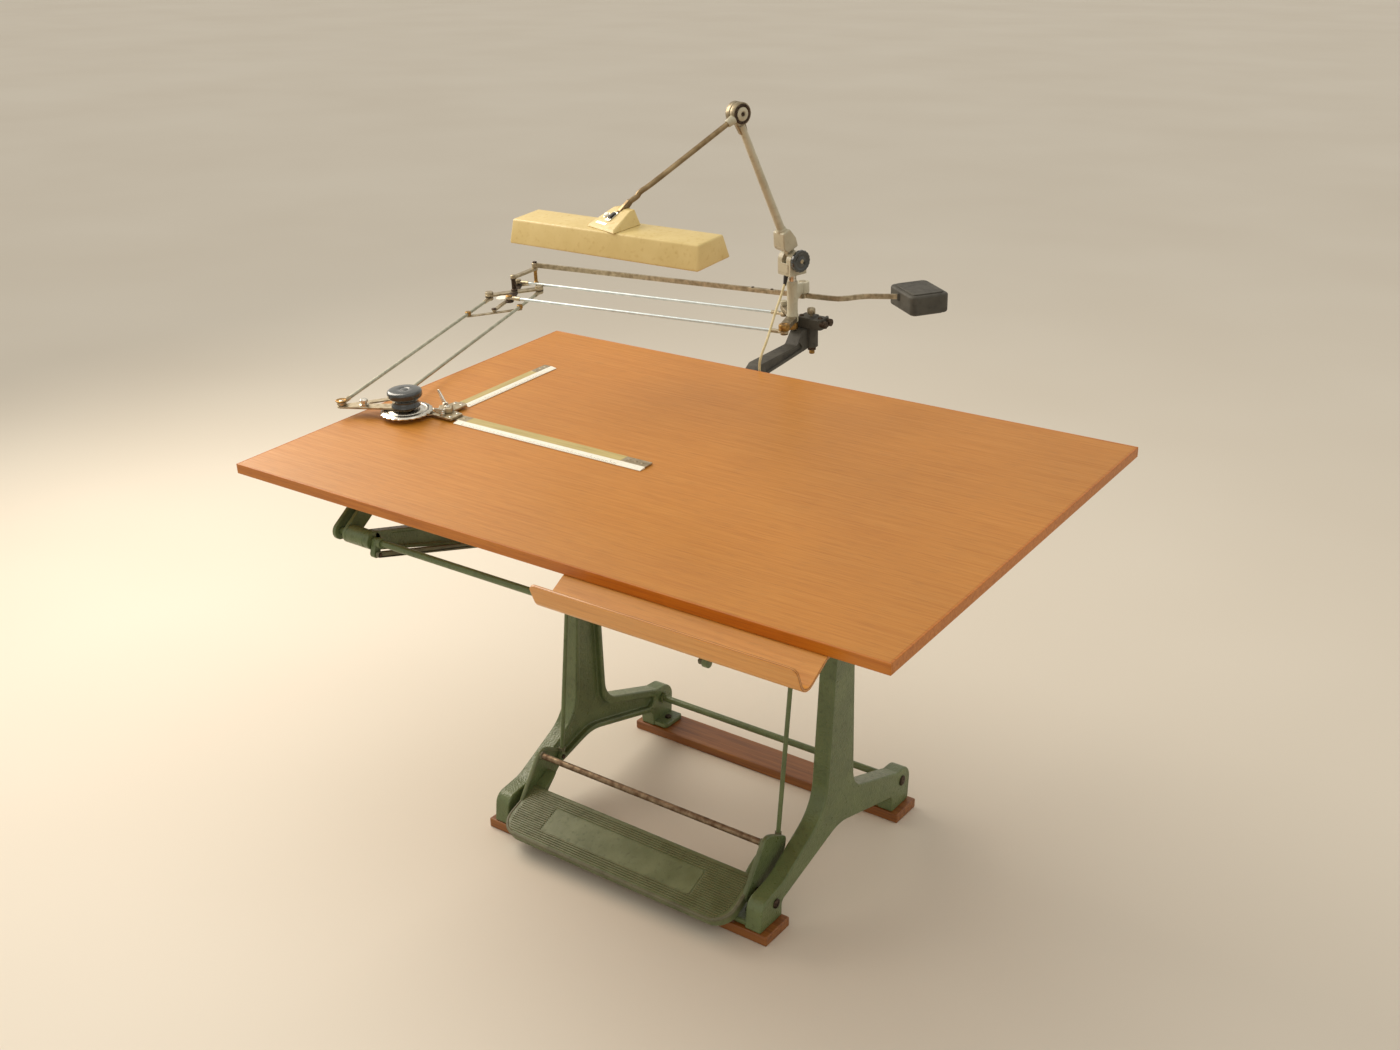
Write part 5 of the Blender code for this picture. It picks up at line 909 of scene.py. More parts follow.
def column():
    """The painted column with its drum, web and the two pivots of the upper arm."""
    low = 0.0505
    post = lathe("column_post", [(0, 0.0306), (0.0118, 0.0306), (0.0125, 0.0315), (0.0125, 0.0450),
                                 (0.0110, 0.0460), (0.0110, 0.0490), (0.0143, 0.0500), (0.0143, 0.0665),
                                 (0.0128, 0.0690), (0.0125, 0.1290), (0.0132, 0.1320), (0.0132, 0.1455),
                                 (0.0122, 0.1490), (0, 0.1500)], COLUMN, (0, 0, 1), 48)
    fit(post, BOARD, CREAM, "board", "head_casting")
    band = lathe("column_band", [(0.0100, 0.0316), (0.0131, 0.0316), (0.0134, 0.0325), (0.0134, 0.0385),
                                 (0.0131, 0.0395), (0.0131, 0.0475), (0.0100, 0.0480)], COLUMN, (0, 0, 1),
                 48)
    fit(band, BOARD, BRASS, "board")
    for name, place, wide, tall, level in (("foot_a", PIVOT_A, 0.026, 0.0130, low + 0.0070),
                                           ("foot_b", PIVOT_B, 0.020, 0.0100, low + 0.0120)):
        fit(slab(name, bar_ends(COLUMN, place, wide, wide * 0.92), tall, (0, 0, level)), BOARD, AGED_CAST,
            "board", None, 0.0018, 3)
    drum = lathe("drum_b", [(0, low + 0.0004), (0.0085, low + 0.0004), (0.0090, low + 0.0010),
                            (0.0090, 0.0665), (0.0083, 0.0672), (0.0083, 0.0690), (0.0090, 0.0698),
                            (0.0090, 0.0770), (0.0080, 0.0780), (0, 0.0780)], PIVOT_B, (0, 0, 1), 36)
    fit(drum, BOARD, CREAM, "board")
    cap = lathe("drum_a", [(0, low + 0.0002), (0.0130, low + 0.0002), (0.0136, low + 0.0010),
                           (0.0136, 0.0625), (0.0120, 0.0650), (0.0060, 0.0655), (0.0055, 0.0645),
                           (0, 0.0645)], PIVOT_A, (0, 0, 1), 40)
    fit(cap, BOARD, BRASS, "board")
    for name, place in (("pin_a", PIVOT_A), ("pin_b", PIVOT_B)):
        fit(rod(name, at_h(place, UPPER_H - 0.0062), at_h(place, low + 0.002), 0.0034), BOARD, BLACKED,
            "board")
        fit(lathe(f"{name}_washer", [(0, 0), (0.0090, 0), (0.0090, 0.0012), (0, 0.0012)],
                  at_h(place, UPPER_H - 0.0060), (0, 0, 1), 28), BOARD, BRASS, "board", None, 0.0003)
    reach = BAR_HUB - COLUMN
    long = hypot(reach.x, reach.y)
    web = slab("column_web", [(0, 0.075), (long * 0.42, 0.0945, 0.030), (long, 0.0980), (long, 0.119),
                              (0, 0.1400)], 0.012, (0, 0, 0), "front")
    web.data.transform(Matrix.Translation(COLUMN) @ Matrix.Rotation(atan2(reach.y, reach.x), 4, "Z"))
    fit(web, BOARD, CREAM, "board", None, 0.0030, 3)
    hub = lathe("bar_hub", [(0, 0.0935), (0.0155, 0.0935), (0.0165, 0.0945), (0.0165, 0.1190),
                            (0.0155, 0.1203), (0.0095, 0.1208), (0.0090, 0.1198), (0, 0.1198)], BAR_HUB,
                (0, 0, 1), 44)
    fit(hub, BOARD, CREAM, "board")
    bolt("hub_screw", at_h(BAR_HUB, 0.1196), (0, 0, 1), BOARD, "board", NICKEL, 0.0078, 0.0024, "slot")
    fit(rod("hub_pin", at_h(BAR_HUB, 0.0785), at_h(BAR_HUB, 0.0950), 0.0049), BOARD, BLACKED, "board")
    spindle = lathe("lamp_spindle", [(0, 0.1480), (0.0105, 0.1490), (0.0105, 0.1560), (0.0098, 0.1566),
                                     (0.0098, 0.1590), (0.0105, 0.1596), (0.0105, 0.1636), (0.0095, 0.1645),
                                     (0.0058, 0.1648), (0.0058, 0.1760), (0, 0.1760)], COLUMN, (0, 0, 1),
                    40)
    fit(spindle, BOARD, CHROME, "board")


def eye_rod(name, start, run, height, body, finish, node):
    """A thin tube with a flattened eye at each end."""
    away = run.normalized()
    first, last = at_h(start, height), at_h(start + run, height)
    fit(rod(name, first + away * 0.010, last - away * 0.010, ROD_R), BOARD, finish, body, node)
    for i, (at, sense) in enumerate(((first, 1), (last, -1))):
        outline = bar_ends(at, at + away * sense * 0.016, 0.0200, 0.0100)
        tab = slab(f"{name}_tab_{i}", outline, 0.0050, (0, 0, height))
        carve(tab, rod("hole", at_h(at, height - 0.01), at_h(at, height + 0.01), 0.0038))
        fit(tab, BOARD, NICKEL, body, None, 0.0006)
        eye = lathe(f"{name}_eye_{i}", [(0.0039, -0.0041), (0.0078, -0.0041), (0.0083, -0.0036),
                                        (0.0083, 0.0036), (0.0078, 0.0041), (0.0039, 0.0041),
                                        (0.0039, -0.0041)], at, (0, 0, 1), 32)
        fit(eye, BOARD, NICKEL, body)
        fit(rod(f"{name}_ferrule_{i}", at + away * sense * 0.012, at + away * sense * 0.034, 0.0052), BOARD,
            NICKEL, body)


def upper_arm():
    """Two parallel rods, and the balance bar with its cranked tail and weight above them."""
    eye_rod("upper_rod_a", PIVOT_A, UPPER_ARM, UPPER_H, "upper_front", ALLOY, "upper_rod_front")
    eye_rod("upper_rod_b", PIVOT_B, UPPER_ARM, UPPER_H, "upper_rear", ALLOY, "upper_rod_rear")
    hub = BAR_HUB
    route = [BAR_END, hub, hub + V((0.070, 0.010, 0)), hub + V((0.092, 0.016, 0)),
             hub + V((0.108, 0.030, 0)), hub + V((0.128, 0.056, 0)), hub + V((0.144, 0.070, 0)),
             hub + V((0.214, 0.106, 0))]
    sides = []
    for i, at in enumerate(route):
        ahead = (route[min(i + 1, len(route) - 1)] - route[max(i - 1, 0)]).normalized()
        sides.append(V((-ahead.y, ahead.x, 0)))
    left = [V((at + n * 0.003)[:2]) for at, n in zip(route, sides)]
    right = [V((at - n * 0.003)[:2]) for at, n in zip(route, sides)]
    bar = slab("balance_bar_strip", right + left[::-1], 0.012, (0, 0, BAR_H))
    carve(bar, rod("hole", at_h(hub, 0.05), at_h(hub, 0.12), 0.0051),
          rod("hole", at_h(BAR_END, 0.05), at_h(BAR_END, 0.12), 0.0037))
    fit(bar, BOARD, NICKEL, "balance", "balance_bar", 0.0009)
    for name, at, radius, bore in (("bar_boss", hub, 0.0120, 0.0053), ("bar_tip", BAR_END, 0.0080, 0.0038)):
        ring = lathe(name, [(bore, -0.006), (radius - 0.001, -0.006), (radius, -0.005), (radius, 0.005),
                            (radius - 0.001, 0.006), (bore, 0.006), (bore, -0.006)], at_h(at, BAR_H),
                     (0, 0, 1), 36)
        fit(ring, BOARD, NICKEL, "balance")
    joint = hub + UPPER_ARM * 0.14
    away = UPPER_ARM.normalized()
    turn = atan2(away.y, away.x)
    splice = brick("bar_splice", (0.075, 0.0100, 0.0050), at_h(joint, BAR_H + 0.0030), (0, 0, turn))
    fit(splice, BOARD, NICKEL, "balance", None, 0.0008)
    across = V((-away.y, away.x, 0))
    for i, step in enumerate((-0.026, 0.026)):
        bolt(f"splice_screw_{i}", at_h(joint + away * step, BAR_H + 0.0055), (0, 0, 1), BOARD, "balance",
             BLACKED, 0.0042, 0.0020, "slot")
    for i, step in enumerate((0.30, 0.62, 0.86)):
        bolt(f"bar_rivet_{i}", at_h(hub + UPPER_ARM * step, BAR_H + 0.001) - across * 0.0028, -across,
             BOARD, "balance", BLACKED, 0.0022, 0.0008, "dome")
    turn = radians(-36)
    long_way, short_way = V((cos(turn), sin(turn), 0)), V((-sin(turn), cos(turn), 0))
    near = hub + V((0.214, 0.106, 0))
    centre = near + short_way * 0.044 + long_way * 0.006
    home = BOARD @ Matrix.Translation(at_h(centre, BAR_H - 0.0075)) @ Matrix.Rotation(turn, 4, "Z")
    weight = slab("weight_casting", oblong(-0.064, 0.064, -0.050, 0.050, 0.014), 0.0480)
    fit(weight, home, IRON, "balance", "machine_counterweight", 0.0060, 4)
    top = oblong(-0.054, 0.054, -0.041, 0.041, 0.010)
    fit(slab("weight_top", top, 0.0050, (0, 0, 0.0243)), home, IRON, "balance", None, 0.0018, 3)
    fit(slab("weight_foot", top, 0.0030, (0, 0, -0.0254)), home, IRON, "balance", None, 0.0012)
    neck = near - (hub + V((0.144, 0.070, 0)))
    fit(brick("weight_clip", (0.018, 0.011, 0.018), at_h(near - neck.normalized() * 0.001, BAR_H),
              (0, 0, atan2(neck.y, neck.x))), BOARD, IRON, "balance", None, 0.0016)


def elbow():
    """Plates, posts and pins that join the two arms, and the small link that keeps them square."""
    level = 0.0370
    frame_bar = slab("elbow_plate_a", bar_ends(ELBOW_L, ELBOW_R, 0.021), 0.006, (0, 0, level))
    fit(frame_bar, BOARD, NICKEL, "elbow", "elbow_frame", 0.0012)
    fit(slab("elbow_plate_b", bar_ends(ELBOW_A, ELBOW_B, 0.021), 0.0054, (0, 0, level)), BOARD, BLACKED,
        "elbow", None, 0.0012)
    fit(slab("elbow_plate_c", bar_ends(ELBOW_B, BAR_END, 0.015), 0.0050, (0, 0, level)), BOARD, NICKEL,
        "elbow", None, 0.0012)
    top = BAR_H - 0.006 - 0.0003 - 0.0070
    fit(slab("elbow_crank", bar_ends(ELBOW_MID, BAR_END, 0.0145), 0.007, (0, 0, top + 0.0035)), BOARD,
        NICKEL, "elbow", None, 0.0014)
    fit(lathe("crank_post", [(0, 0.0400), (0.0085, 0.0400), (0.0085, 0.0440), (0.0060, 0.0460),
                             (0.0060, 0.0700), (0.0078, 0.0720), (0.0078, top), (0, top)], ELBOW_MID,
              (0, 0, 1), 32), BOARD, BLACKED, "elbow")
    fit(lathe("end_post", [(0, 0.0345), (0.0068, 0.0345), (0.0068, 0.0400), (0.0046, 0.0420),
                           (0.0046, 0.0690), (0.0064, 0.0720), (0.0064, top), (0, top)], BAR_END, (0, 0, 1),
              28), BOARD, BRASS, "elbow")
    fit(rod("end_pin", at_h(BAR_END, top), at_h(BAR_END, BAR_H + 0.0068), 0.0034), BOARD, NICKEL, "elbow")
    bolt("end_nut", at_h(BAR_END, BAR_H + 0.0063), (0, 0, 1), BOARD, "elbow", BLACKED, 0.0062, 0.0034)
    bolt("crank_nut", at_h(ELBOW_MID, BAR_H - 0.0063), (0, 0, 1), BOARD, "elbow", NICKEL, 0.0072, 0.0040,
         "dome")
    for i, at in enumerate((ELBOW_A, ELBOW_B)):
        fit(rod(f"arm_pin_{i}", at_h(at, level), at_h(at, UPPER_H + 0.0042), 0.0036), BOARD, NICKEL,
            "elbow")
        bolt(f"arm_nut_{i}", at_h(at, UPPER_H + 0.0043), (0, 0, 1), BOARD, "elbow", (BRASS, NICKEL)[i],
             0.0088, 0.0034, "dome")
    for i, at in enumerate((ELBOW_L, ELBOW_R, ELBOW_MID)):
        fit(rod(f"rod_pin_{i}", at_h(at, LOWER_H - 0.0046), at_h(at, level), 0.0036), BOARD, NICKEL,
            "elbow")
    for i, at in enumerate((ELBOW_L, ELBOW_R)):
        cap = lathe(f"rod_cap_{i}", [(0, 0.0398), (0.0102, 0.0398), (0.0106, 0.0404), (0.0106, 0.0450),
                                     (0.0096, 0.0466), (0.0050, 0.0472), (0, 0.0468)], at, (0, 0, 1), 36)
        fit(cap, BOARD, NICKEL, "elbow")
        fit(lathe(f"rod_collar_low_{i}", [(0, 0.0324), (0.0108, 0.0324), (0.0108, 0.0340), (0, 0.0340)], at,
                  (0, 0, 1), 32), BOARD, BLACKED, "elbow", None, 0.0003)
    dial = lathe("celluloid_dial", [(0, 0.0402), (0.0165, 0.0402), (0.0170, 0.0406), (0.0170, 0.0418),
                                    (0.0165, 0.0424), (0, 0.0424)], ELBOW_A.lerp(ELBOW_L, 0.32), (0, 0, 1),
                 40)
    fit(dial, BOARD, WHITE, "elbow")
    short = LOWER_ARM * CROSSBAR_AT
    link = slab("link_bar", bar_ends(ELBOW_MID, ELBOW_MID + short, 0.0105), 0.0048, (0, 0, LOWER_H))
    fit(link, BOARD, NICKEL, "elbow_link", "elbow_link", 0.0010)
    cross_low = LOWER_H - ROD_R - 0.0012 - 0.0030
    left, right = ELBOW_L + short, ELBOW_R + short
    fit(slab("cross_strip", bar_ends(left, right, 0.0115), 0.0030, (0, 0, cross_low + 0.0015)), BOARD,
        NICKEL, "crossbar", "elbow_crossbar", 0.0007)
    fit(rod("cross_pin", at_h(ELBOW_MID + short, cross_low + 0.001),
            at_h(ELBOW_MID + short, LOWER_H + 0.0036), 0.0032), BOARD, NICKEL, "crossbar")
    bolt("cross_nut", at_h(ELBOW_MID + short, LOWER_H + 0.0028), (0, 0, 1), BOARD, "crossbar", BLACKED,
         0.0070, 0.0030, "dome")
    for name, at, body in (("left", left, "lower_front"), ("right", right, "lower_rear")):
        clip = lathe(f"cross_clip_{name}", [(0, -0.0038), (0.0066, -0.0038), (0.0074, -0.0030),
                                            (0.0074, 0.0050), (0.0064, 0.0060), (0, 0.0060)],
                     at_h(at, LOWER_H), (0, 0, 1), 28)
        fit(clip, BOARD, BRASS, body)


def lower_arm():
    """The two long rods down to the head, duller than the upper pair."""
    eye_rod("lower_rod_a", ELBOW_L, LOWER_ARM, LOWER_H, "lower_front", DULL_ALLOY, "lower_rod_front")
    eye_rod("lower_rod_b", ELBOW_R, LOWER_ARM, LOWER_H, "lower_rear", DULL_ALLOY, "lower_rod_rear")


def head():
    """Bracket, scalloped index disc, hand knob, chuck and thumb levers."""
    top = LOWER_H - 0.0042 - 0.0003
    flat = 0.0050
    mid = top - flat / 2
    bars = [slab("head_bar_0", bar_ends(HEAD_A, PROTRACTOR, 0.0200, 0.0300), flat, (0, 0, mid)),
            slab("head_bar_1", bar_ends(HEAD_B, PROTRACTOR, 0.0200, 0.0280), flat, (0, 0, mid)),
            slab("head_bar_2", bar_ends(HEAD_A, HEAD_B, 0.0160), flat - 0.0012, (0, 0, mid))]
    for i, bar in enumerate(bars):
        carve(bar, rod("hole", at_h(PROTRACTOR, 0), at_h(PROTRACTOR, 0.04), 0.0066))
        fit(bar, BOARD, NICKEL, "head", "head_bracket" if i == 0 else None, 0.0012)
    for i, at in enumerate((HEAD_A, HEAD_B)):
        fit(rod(f"head_pin_{i}", at_h(at, top - 0.003), at_h(at, LOWER_H + 0.0046), 0.0034), BOARD, NICKEL,
            "head")
        ring = lathe(f"head_ring_{i}", [(0.0052, 0.0326), (0.0118, 0.0326), (0.0128, 0.0336),
                                        (0.0124, 0.0352), (0.0106, 0.0358), (0.0098, 0.0346),
                                        (0.0052, 0.0342), (0.0052, 0.0326)], at, (0, 0, 1), 44)
        fit(ring, BOARD, BRASS, "head")
        bolt(f"head_screw_{i}", at_h(at, 0.0326), (0, 0, 1), BOARD, "head", CHROME, 0.0056, 0.0024, "slot")
    stud = HEAD_A.lerp(PROTRACTOR, 0.35)
    fit(lathe("head_button", [(0, top - 0.001), (0.0100, top - 0.001), (0.0100, top + 0.0030),
                              (0.0068, top + 0.0042), (0.0068, top + 0.0080), (0.0090, top + 0.0092),
                              (0.0088, top + 0.0130), (0.0066, top + 0.0152), (0, top + 0.0158)], stud,
              (0, 0, 1), 36, lambda turn, r: 0.04 * cos(14 * turn) if 0.0087 < r < 0.0095 else 0.0), BOARD,
        CHROME, "head")
    disc_top, disc_low = top - flat - 0.0003, 0.0093
    scallop = lathe("index_disc", [(0.0063, disc_low), (0.0520, disc_low), (0.0555, disc_low + 0.0012),
                                   (0.0560, disc_low + 0.0036), (0.0535, disc_low + 0.0050),
                                   (0.0520, disc_low + 0.0062), (0.0440, disc_low + 0.0072),
                                   (0.0430, disc_low + 0.0066), (0.0400, disc_low + 0.0066),
                                   (0.0390, disc_low + 0.0076), (0.0300, disc_top), (0.0063, disc_top),
                                   (0.0063, disc_low)], PROTRACTOR, (0, 0, 1), 144,
                    lambda turn, r: 0.022 * cos(24 * turn) if r > 0.0535 else 0.0)
    fit(scallop, BOARD, CHROME, "head", "protractor_disc")
    marks = bmesh.new()
    for k in range(72):
        turn = 2 * pi * k / 72
        long = 0.0042 if k % 6 == 0 else 0.0024
        spot = Matrix.Translation(at_h(PROTRACTOR, disc_low + 0.0070)) @ Matrix.Rotation(turn, 4, "Z")
        cube = bmesh.ops.create_cube(marks, size=1)["verts"]
        bmesh.ops.transform(marks, matrix=spot @ Matrix.Translation((0.0475 + long / 2 - 0.002, 0, -0.0003))
                            @ Matrix.Diagonal((long, 0.0006, 0.0012, 1)), verts=cube)
    fit(from_form("index_marks", marks), BOARD, INK, "head")
    low = top + 0.0003
    knob = lathe("hand_knob_body", [(0, disc_low - 0.003), (0.0058, disc_low - 0.003), (0.0058, low),
                                    (0.0300, low), (0.0318, low + 0.0010), (0.0318, low + 0.0034),
                                    (0.0296, low + 0.0062), (0.0278, low + 0.0095), (0.0272, low + 0.0130),
                                    (0.0280, low + 0.0160), (0.0305, low + 0.0184), (0.0345, low + 0.0202),
                                    (0.0368, low + 0.0222), (0.0375, low + 0.0250), (0.0375, low + 0.0318),
                                    (0.0368, low + 0.0345), (0.0345, low + 0.0363), (0.0300, low + 0.0372),
                                    (0.0200, low + 0.0379), (0.0100, low + 0.0382), (0.0092, low + 0.0376),
                                    (0, low + 0.0376)], PROTRACTOR, (0, 0, 1), 64)
    fit(knob, BOARD, BAKELITE, "rotor", "hand_knob", 0, 2, 50)
    fit(lathe("knob_cap", [(0, low + 0.0374), (0.0086, low + 0.0374), (0.0086, low + 0.0380),
                           (0.0070, low + 0.0384), (0, low + 0.0384)], PROTRACTOR, (0, 0, 1), 32), BOARD,
        BAKELITE, "rotor")
    chuck(disc_low)


def chuck(disc_low):
    """What turns with the knob: the arm to the scales, their clamps and the two thumb levers."""
    base, thick = 0.0006, 0.0035
    low, high = base + thick + 0.0003, disc_low - 0.0003
    mid, tall = (low + high) / 2, high - low
    away = (CHUCK - PROTRACTOR).normalized()
    side = V((-away.y, away.x, 0))
    arm = slab("chuck_arm", bar_ends(PROTRACTOR, CHUCK, 0.036), tall, (0, 0, mid))
    carve(arm, rod("hole", at_h(PROTRACTOR, 0), at_h(PROTRACTOR, 0.02), 0.0062))
    fit(arm, BOARD, NICKEL, "rotor", "scale_carrier", 0.0007)
    plan = [(-0.602, 0.393, 0.003), (-0.530, 0.393, 0.004), (-0.530, 0.431, 0.004), (-0.561, 0.434, 0.003),
            (-0.561, 0.478, 0.004), (-0.597, 0.478, 0.004), (-0.602, 0.430, 0.003)]
    fit(slab("chuck_plate", plan, tall, (0, 0, mid)), BOARD, NICKEL, "rotor", None, 0.0007)
    home = BOARD @ Matrix.Translation(at_h(CHUCK + V((0.004, -0.004, 0)), high)) @ Matrix.Rotation(
        atan2(away.y, away.x), 4, "Z")
    fit(slab("chuck_boss", oblong(-0.015, 0.015, -0.013, 0.013, 0.004), 0.0112, (0, 0, 0.0054)), home,
        NICKEL, "rotor", None, 0.0018, 3)
    bolt("chuck_screw", (0.004, 0, 0.0108), (0, 0, 1), home, "rotor", CHROME, 0.0062, 0.0030, "slot")
    for i, (u, v) in enumerate(((-0.540, 0.402), (-0.540, 0.424), (-0.570, 0.468), (-0.588, 0.468))):
        bolt(f"chuck_pin_{i}", (u, v, high - 0.0002), (0, 0, 1), BOARD, "rotor", CHROME, 0.0038, 0.0018,
             "slot")
    for name, lean in (("index_lever", -1), ("lock_lever", 1)):
        pivot = PROTRACTOR + away * 0.0800 + side * lean * 0.0260
        reach = away * -0.012 + side * lean * 0.016
        base_h = high + 0.0003
        stem = lathe(f"{name}_stem", [(0, 0), (0.0060, 0), (0.0060, 0.0040), (0.0050, 0.0048),
                                      (0.0050, 0.0076), (0.0036, 0.0090), (0, 0.0092)], at_h(pivot, base_h),
                     (0, 0, 1), 32)
        fit(stem, BOARD, CHROME, name, name)
        tall_end = (0.0205, 0.0300)[lean > 0]
        out, high_end = hypot(reach.x, reach.y) * 1.15, tall_end - 0.0060
        stand_up = Matrix.Rotation(atan2(reach.y, reach.x), 4, "Z")
        home = BOARD @ Matrix.Translation(at_h(pivot, base_h + 0.0050)) @ stand_up
        blade = slab(f"{name}_wing", bar_ends((0.0010, 0.0015), (out, high_end), 0.0130, 0.0075), 0.0042,
                     (0, 0, 0), "front")
        fit(blade, home, CHROME, name, None, 0.0016, 3)
        tail = slab(f"{name}_tail", bar_ends((0, 0.0010), (-0.0085, 0.0035), 0.0085, 0.0070), 0.0040,
                    (0, 0, 0), "front")
        fit(tail, home, CHROME, name, None, 0.0014, 3)
    scales(base, thick)


def scales(base, thick):
    """Boxwood rules with white bevelled edges, ruled marks and riveted metal ends."""
    for name, start, length, width, upright in (("scale_long", V((-0.562, 0.412, 0)), 0.540, 0.042, False),
                                                ("scale_short", V((-0.579, 0.441, 0)), 0.335, 0.036, True)):
        home = BOARD @ Matrix.Translation(at_h(start, base))
        if upright:
            home = home @ Matrix.Rotation(pi / 2, 4, "Z")
        half = width / 2
        plate_l = 0.050 if upright else 0.062
        wood = brick(f"{name}_wood", (length - 2 * plate_l, width - 0.016, thick),
                     (length / 2, 0.008, thick / 2))
        fit(wood, home, BOXWOOD, "rotor", name, 0.0004, 1)
        form = bmesh.new()
        section = [(-half + 0.016, 0.0), (-half + 0.016, thick * 0.96), (-half + 0.0135, thick * 0.96),
                   (-half, 0.0010), (-half, 0.0)]
        rings = [[form.verts.new((x, y, z)) for y, z in section]
                 for x in (0.040, length)]
        for k in range(len(section)):
            j = (k + 1) % len(section)
            form.faces.new((rings[0][k], rings[0][j], rings[1][j], rings[1][k]))
        form.faces.new(rings[0][::-1])
        form.faces.new(rings[1])
        fit(from_form(f"{name}_edge", form), home, WHITE, "rotor")
        for end, x in (("near", plate_l / 2), ("far", length - plate_l / 2)):
            plate = brick(f"{name}_{end}_plate", (plate_l, width - 0.0165, thick), (x, 0.00775, thick / 2))
            fit(plate, home, NICKEL, "rotor", None, 0.0004, 1)
            for k, dx in enumerate((-0.016, 0.0, 0.016)):
                if end == "near" and x + dx < 0.034:
                    continue
                bolt(f"{name}_{end}_rivet_{k}", (x + dx, 0.008, thick - 0.0002), (0, 0, 1), home, "rotor",
                     NICKEL, 0.0032, 0.0009, "slot")
        marks = bmesh.new()
        count = int((length - 2 * plate_l) / 0.005)
        for k in range(count + 1):
            x = plate_l + k * 0.005
            long = 0.0085 if k % 10 == 0 else (0.0062 if k % 2 == 0 else 0.0040)
            cube = bmesh.ops.create_cube(marks, size=1)["verts"]
            slant = Matrix.Rotation(atan2(thick * 0.96 - 0.001, 0.0135), 4, "X")
            at = Matrix.Translation((x, -half,
                                     0.0010)) @ slant @ Matrix.Translation((0, long / 2 + 0.0005, 0.0))
            bmesh.ops.transform(marks, matrix=at @ Matrix.Diagonal((0.0005, long, 0.0003, 1)), verts=cube)
        fit(from_form(f"{name}_marks", marks), home, INK, "rotor")


# ------------------------------------------------------------------ lamp
def lamp_foot():
    """The knuckle on the column's top: a split block with its tension knob."""
    low, pivot = 0.1667, LAMP_BASE.z
    outline = [(-0.025, low), (0.025, low), (0.025, pivot)]
    outline = [V(p) for p in outline]
    for k in range(1, 12):
        turn = pi * k / 12
        outline.append(V((0.025 * cos(turn), pivot + 0.0205 * sin(turn))))
    outline.append(V((-0.025, pivot)))
    block = slab("lamp_foot_block", outline, 0.045, (0, 0, 0), "front")
    carve(block, slab("slot", [(-0.040, low + 0.0185), (0.040, low + 0.0185), (0.040, 0.240),
                               (-0.040, 0.240)], 0.0136, (0, 0, 0), "front"),
          rod("hole", (0, 0, 0.150), (0, 0, 0.1765), 0.0062), rod("hole", (0, -0.03, pivot),
                                                                  (0, 0.03, pivot), 0.0042))
    fit(block, LAMP, CREAM, "lamp_foot", "lamp_base", 0.0018, 3)
    plate = slab("foot_plate", oblong(-0.017, 0.017, low + 0.006, low + 0.028, 0.002), 0.0016,
                 (0, -0.0226, 0), "front")
    fit(plate, LAMP, CREAM, "lamp_foot", None, 0.0005)
    face = slab("foot_face", oblong(-0.015, 0.015, low + 0.006, low + 0.030, 0.002), 0.0016, (0.0252, 0, 0),
                "side")
    fit(face, LAMP, CREAM, "lamp_foot", None, 0.0005)
    knob = lathe("tension_knob", [(0, -0.040), (0.0040, -0.040), (0.0040, 0), (0.0100, 0), (0.0160, 0.0010),
                                  (0.0255, 0.0030), (0.0262, 0.0046), (0.0262, 0.0100), (0.0250, 0.0120),
                                  (0.0200, 0.0126), (0.0180, 0.0114), (0.0110, 0.0114), (0.0090, 0.0126),
                                  (0, 0.0130)], (0, 0.0229, pivot), (0, 1, 0), 72,
                 lambda turn, r: 0.022 * cos(18 * turn) if r > 0.024 else 0.0)
    fit(knob, LAMP, BAKELITE, "lamp_knob", "lamp_knob")
    bolt("tension_screw", (0, 0.0355, pivot), (0, 1, 0), LAMP, "lamp_knob", NICKEL, 0.0050, 0.0016, "slot")
    fit(lathe("foot_cap", [(0, 0), (0.0120, 0), (0.0125, 0.0006), (0.0125, 0.0040), (0.0110, 0.0052),
                           (0, 0.0056)], (0, -0.0225, pivot), (0, -1, 0), 36), LAMP, BAKELITE, "lamp_foot")


